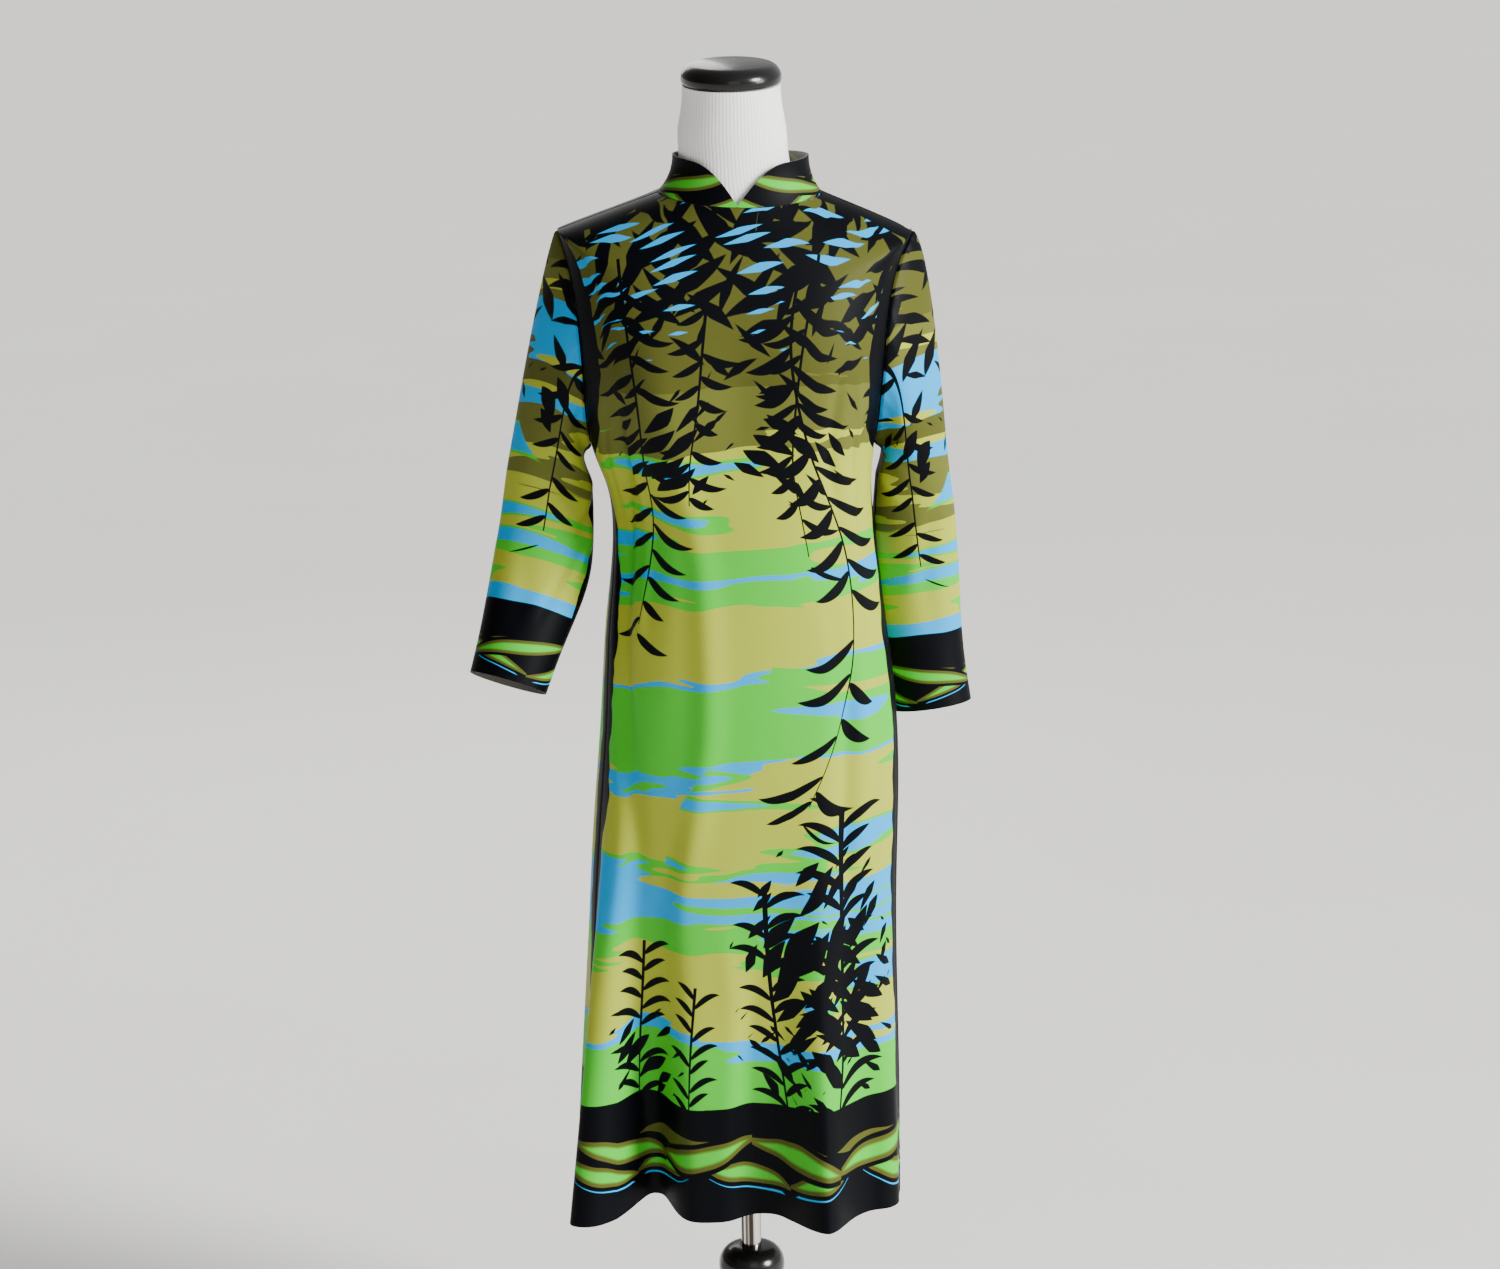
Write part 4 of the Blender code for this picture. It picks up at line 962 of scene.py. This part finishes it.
def makeSleeve(side):
    s = sleeveShape
    grid = sleeveGrid(side)
    down = runningLength(grid, 0)
    fromCuff = down[-1:] - down
    share = np.arange(grid.shape[1]) / grid.shape[1]
    girth = s["girth"]
    order = -1 if side == "left" else 1
    out = outward(grid[:, ::order], True)[:, ::order]
    stand = np.zeros(grid.shape[:2])
    for x0, z0, x1, z1, width, depth in s["creases"][side]:
        for turn in (-1, 0, 1):
            line = (x0 * girth, z0, x1 * girth, z1, width, depth)
            stand += crease((share[None] + turn) * girth, fromCuff, line)
    height, count, reach = s["puckers"]
    waves = np.sin(share * 2 * np.pi * count)[None]
    stand += height * waves * np.exp(-down / reach) * smoothStep(0, 0.4 * reach, down)
    depth, reach = s["seamRoll"]
    stand -= depth * np.exp(-(down / reach) ** 2)
    grid = (grid + out * stand[:, :, None])[:, ::order]
    if side == "left":
        grid = np.roll(grid, 1, axis=1)
    v = np.concatenate([fromCuff, fromCuff[:, :1]], axis=1)[:, ::order]
    u = np.append(share, 1.0)[::order] * girth
    uv = np.stack([np.broadcast_to(u, v.shape), v], axis=2)
    reportCut("sleeve_" + side, np.concatenate([grid, grid[:, :1]], axis=1))
    edge = np.broadcast_to(np.minimum(share, 1 - share) * girth, grid.shape[:2])
    piece = wall("dressSleeve" + side.capitalize(), grid, dressShape["cloth"], uv, closed=True, edge=edge)
    dressUp(piece, "sleeve_" + side, sleeveCloth)


makeSleeve("left")
makeSleeve("right")
print("sleeves made")


# Collar

collarShape = {
    "top": {"left": -0.0610, "right": 0.0795, "front": 0.0545, "back": 0.054, "square": 2.0,
            "level": 1.4265, "midFront": 1.4225, "midBack": 1.4225},
    "split": 0.062, "low": 0.06, "flare": 2.2, "centreX": 0.0015, "crowd": 1.35,
    "cloth": 0.0023, "softEdge": 0.0009, "columns": 110, "rows": 12, "cut": (0.24, 0.044, 0.0072),
}


def makeCollar(side):
    # height of the edge = low + (1 - low) * (1 - (1 - d / split)^2); way in = 1 - (1 - share)^flare
    s = collarShape
    places, points, size, _ = ring(neckline)
    half = ringPoints // 2
    start = float(np.interp(-s["centreX"], -points[:half, 0], places[:half]))
    sign = 1 if side == "left" else -1
    end = 0.75 if side == "left" else -0.25
    gap = sign * dressShape["seamGap"] / 2 / size
    along = start + gap + (end - start - 2 * gap) * np.linspace(0, 1, s["columns"] + 1) ** s["crowd"]
    if side == "right":
        along = along[::-1]
    away = np.minimum(np.abs(along - start) * size, s["split"])
    rise = s["low"] + (1 - s["low"]) * (1 - (1 - away / s["split"]) ** 2)
    low = dressShape["seamGap"] * 2 / (s["top"]["level"] - dressShape["rings"][-1][0])
    share = (low + np.linspace(0, 1, s["rows"] + 1)[:, None] * (rise - low))[:, :, None]
    foot = readRound(along, places, points)
    whole = oval(s["top"])
    top = readRound(along, placesRound(whole)[0], whole)
    leanOver(top)
    grid = foot + (top - foot) * (1 - np.maximum(1 - share, 0) ** s["flare"])
    grid[:, :, 2] = foot[:, 2] + (top[:, 2] - foot[:, 2]) * share[:, :, 0]
    up, around = runningLength(grid, 0), runningLength(grid[0], 0)
    if side == "right":
        around = around[-1] - around
    uv = np.stack([np.broadcast_to(around, up.shape), up], axis=2)
    reportCut("collar_" + side, grid)
    piece = wall("dressCollar" + side.capitalize(), grid, s["cloth"], uv)
    soften = piece.modifiers.new("soft edge", "BEVEL")
    soften.width, soften.segments = s["softEdge"], 2
    soften.limit_method, soften.angle_limit = "ANGLE", 1.0
    dressUp(piece, "collar_" + side, collarCloth)


makeCollar("left")
makeCollar("right")
print("collar made")


# Dress form

formShape = {
    "names": ("level", "left", "right", "front", "back", "square", "midFront", "midBack"),
    "torso": (
        (0.715, -0.130, 0.139, 0.084, 0.088, 2.20, 0.715, 0.715),
        (0.740, -0.136, 0.145, 0.088, 0.093, 2.20, 0.740, 0.740),
        (0.840, -0.134, 0.147, 0.090, 0.098, 2.20, 0.840, 0.840),
        (0.940, -0.124, 0.134, 0.084, 0.088, 2.15, 0.940, 0.940),
        (1.030, -0.112, 0.121, 0.078, 0.076, 2.10, 1.030, 1.030),
        (1.120, -0.130, 0.126, 0.095, 0.086, 2.15, 1.119, 1.119),
        (1.200, -0.140, 0.132, 0.106, 0.096, 2.20, 1.180, 1.188),
        (1.290, -0.148, 0.144, 0.098, 0.096, 2.20, 1.245, 1.264),
    ),
    # share of the way from the shoulder ring to the neckline, and the gap to the cloth's outside
    "shoulders": ((0.20, 0.0070), (0.44, 0.0035), (0.66, 0.0035), (0.92, 0.0068)),
    # level, centre, half width, half depth
    "neck": ((1.3920, 0.0050, 0.0690, 0.0530), (1.4040, 0.0030, 0.0620, 0.0500),
             (1.4230, 0.0020, 0.0568, 0.0485), (1.4500, 0.0010, 0.0560, 0.0500),
             (1.4800, 0.0010, 0.0515, 0.0505), (1.4985, 0.0010, 0.0505, 0.0500)),
    "capTilt": math.radians(2.4), "columns": 120, "ringsBetween": 6, "neckGirth": 0.33,
}


def makeForm():
    # rings through the torso, shoulders and neck, joined by one spline for each column
    s = formShape
    at = np.arange(s["columns"]) / s["columns"]
    rings = []
    for row in s["torso"]:
        whole = oval(dict(zip(s["names"], row)))
        points = readRound(at, placesRound(whole)[0], whole)
        leanOver(points)
        rings.append(points)
    for share, gap in s["shoulders"]:
        rise = shoulder + (neckline - shoulder) * share
        rows = []
        for near in (rise - 0.004, rise, rise + 0.004):
            places, points, _, _ = ring(near)
            rows.append(readRound(at, places, points))
        rings.append(rows[1] - outward(np.array(rows), True)[1] * gap)
    for level, centre, halfWidth, halfDepth in s["neck"]:
        row = (level, centre - halfWidth, centre + halfWidth, halfDepth, halfDepth, 2.0, level, level)
        whole = oval(dict(zip(s["names"], row)))
        points = readRound(at, placesRound(whole)[0], whole)
        tilt = smoothStep(s["neck"][0][0], s["neck"][-1][0], level)
        points[:, 2] += points[:, 1] * math.tan(s["capTilt"]) * tilt
        rings.append(points)
    rings = np.array(rings)
    line = Curve(rings.reshape(len(rings), -1), slice(0, 3))
    knots, between = line.knots, s["ringsBetween"]
    rises = np.interp(np.arange((len(knots) - 1) * between + 1) / between, np.arange(len(knots)), knots)
    grid = line.at(rises).reshape(len(rises), s["columns"], 3)
    rows, columns = grid.shape[:2]
    sides = cells(numbered(rows, columns, True))
    ends = numbered(rows, columns)[[0, -1]]
    ends[1] = ends[1, ::-1]
    piece = makeObject("formCover", grid.reshape(-1, 3), sides.tolist() + ends.tolist())
    u = np.arange(columns + 1) / columns * s["neckGirth"]
    v = np.broadcast_to(rises[:, None], (rows, columns + 1))
    uv = np.stack([np.broadcast_to(u, v.shape), v], axis=2).reshape(-1, 2)
    onEnds = grid.reshape(-1, 3)[ends.ravel(), :2]
    giveUv(piece, np.concatenate([uv[cells(numbered(rows, columns + 1)).ravel()], onEnds]))
    dressUp(piece, "form_body", knitCover)


makeForm()

standShape = {
    "base": (
        (0.000, 0.000), (0.150, 0.000), (0.1555, 0.004), (0.157, 0.010), (0.1545, 0.017),
        (0.148, 0.022), (0.128, 0.027), (0.098, 0.035), (0.072, 0.046), (0.052, 0.062),
        (0.040, 0.082), (0.033, 0.104), (0.029, 0.128), (0.027, 0.145), (0.0335, 0.150),
        (0.0355, 0.157), (0.0335, 0.165), (0.0285, 0.1705), (0.0272, 0.1745), (0.0285, 0.1785),
        (0.0335, 0.184), (0.0360, 0.1925), (0.0355, 0.2005), (0.0320, 0.2085), (0.0260, 0.2140),
        (0.0130, 0.2165), (0.000, 0.2165),
    ),
    "baseCrisp": [12, 17],
    "cap": (
        (0.0000, 0.0000), (0.0470, 0.0000), (0.0505, 0.0018), (0.0518, 0.0060), (0.0512, 0.0110),
        (0.0485, 0.0160), (0.0445, 0.0195), (0.0400, 0.0210), (0.0000, 0.0216),
    ),
    # radius, bottom and top
    "pole": (0.011, 0.2168, 0.7147),
    "capGap": 0.0003,
}


def makeStand():
    s = standShape
    base = turned("standBase", s["base"], crisp=s["baseCrisp"])
    dressUp(base, "base", blackLacquer)
    radius, bottom, top = s["pole"]
    pole = turned("standPole", ((0, bottom), (radius, bottom), (radius, top), (0, top)), sides=64)
    dressUp(pole, "pole", chrome)
    cap = turned("neckCap", s["cap"])
    level, centre = formShape["neck"][-1][:2]
    place = Matrix.Translation((centre, 0, level + s["capGap"]))
    cap.data.transform(place @ Matrix.Rotation(formShape["capTilt"], 4, "X"))
    dressUp(cap, "neck_cap", blackLacquer)


makeStand()

for node in ("zip_slider", "zip_pull"):
    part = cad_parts[node]
    part.data.materials.clear()
    part.data.materials.append(nickel)
print("form, stand and zip made")


# Studio

studio = {
    "floor": 30.0,  # half its side
    # the room's light by direction, from the dim left to the window on the right
    "world": ((0.0, (0.16, 0.13, 0.10)), (0.40, (0.46, 0.44, 0.41)), (0.70, (0.95, 0.97, 1.0))),
    "worldPower": 0.74,
    # place, aim, power, width in degrees and colour of the daylight
    "sun": ((3.2, -1.9, 2.5), (0, 0, 0.9), 6.4, 20, (1.0, 0.99, 0.96)),
    # name, place, aim, size, power, colour
    "lights": (
        ("window", (2.6, -1.2, 1.8), (0, 0, 0.95), 1.0, 46, (1.0, 0.99, 0.97)),
        ("front", (0.3, -3.8, 2.4), (0, 0, 0.9), 1.8, 10, (1.0, 1.0, 1.0)),
        ("back", (-0.6, 2.8, 2.2), (0, 0, 0.9), 1.4, 20, (1.0, 1.0, 1.0)),
    ),
    # focal length in pixels of a picture 1500 wide, distance and angles of the view
    "camera": {"focal": 4265.0, "away": 4.35, "height": 0.215 + 4.35 * math.tan(math.radians(23.7)),
               "pitch": 15.55, "roll": 1.017, "turn": -3.0, "aimX": 0.0103},
}


def setAxes(holder, axes, place):
    rows = np.column_stack([*axes, place]).tolist()
    holder.matrix_world = Matrix([*rows, (0, 0, 0, 1)])


def addLamp(kind, name, place, aim, power, colour, **settings):
    lamp = bpy.data.lights.new(name, kind)
    lamp.energy, lamp.color = power, colour
    for key, value in settings.items():
        setattr(lamp, key, value)
    back = np.subtract(place, aim)
    back /= np.linalg.norm(back)
    side = np.cross((0, 0, 1), back)
    side /= np.linalg.norm(side)
    setAxes(addObject(name, lamp), (side, np.cross(back, side), back), place)


def makeFloor():
    size = studio["floor"]
    corners = [(x * size, y * size, -0.0005) for x, y in ((-1, -1), (1, -1), (1, 1), (-1, 1))]
    floor = makeObject("studioFloor", np.array(corners), [[0, 1, 2, 3]], smooth=False)
    f = Finish("pale floor", Roughness=0.85)
    place = f.place()
    patches = f.noise(place * 2.0, place.out(1) * 2.0)
    f.feed("Base Color", f.mix(patches, paint(246, 245, 241), paint(251, 250, 248)))
    floor.data.materials.append(f.material)


def makeWorld():
    world = bpy.data.worlds.new("studio")
    world.use_nodes = True
    sky = Nodes(world.node_tree)
    stops = [(at, (*colour, 1.0)) for at, colour in studio["world"]]
    light = sky.ramp(sky.place("Generated") * 0.5 + 0.5, stops, smooth=True)
    background = sky.tree.nodes["Background"]
    sky.tree.links.new(light.socket, background.inputs["Color"])
    background.inputs["Strength"].default_value = studio["worldPower"]
    bpy.context.scene.world = world


def makeLights():
    place, aim, power, angle, colour = studio["sun"]
    addLamp("SUN", "daylight", place, aim, power, colour, angle=math.radians(angle))
    for name, place, aim, wide, power, colour in studio["lights"]:
        addLamp("AREA", name, place, aim, power, colour, size=wide)


def makeCamera():
    c = studio["camera"]
    turn, pitch, roll = [math.radians(c[k]) for k in ("turn", "pitch", "roll")]
    back = np.array((math.sin(turn), -math.cos(turn), 0.0))
    side = np.array((math.cos(turn), math.sin(turn), 0.0))
    place = back * c["away"] + side * c["aimX"] + np.array((0, 0, c["height"]))
    ahead = -back * math.cos(pitch) - np.array((0, 0, math.sin(pitch)))
    up = np.cross(side, ahead)
    x = side * math.cos(roll) - up * math.sin(roll)
    y = side * math.sin(roll) + up * math.cos(roll)
    lens = bpy.data.cameras.new("camera")
    lens.sensor_width = 36.0
    lens.lens = c["focal"] * 36.0 / 1500
    lens.clip_end = 200.0
    camera = addObject("camera", lens)
    setAxes(camera, (x, y, -ahead), place)
    bpy.context.scene.camera = camera


makeFloor()
makeWorld()
makeLights()
makeCamera()
print("studio made")
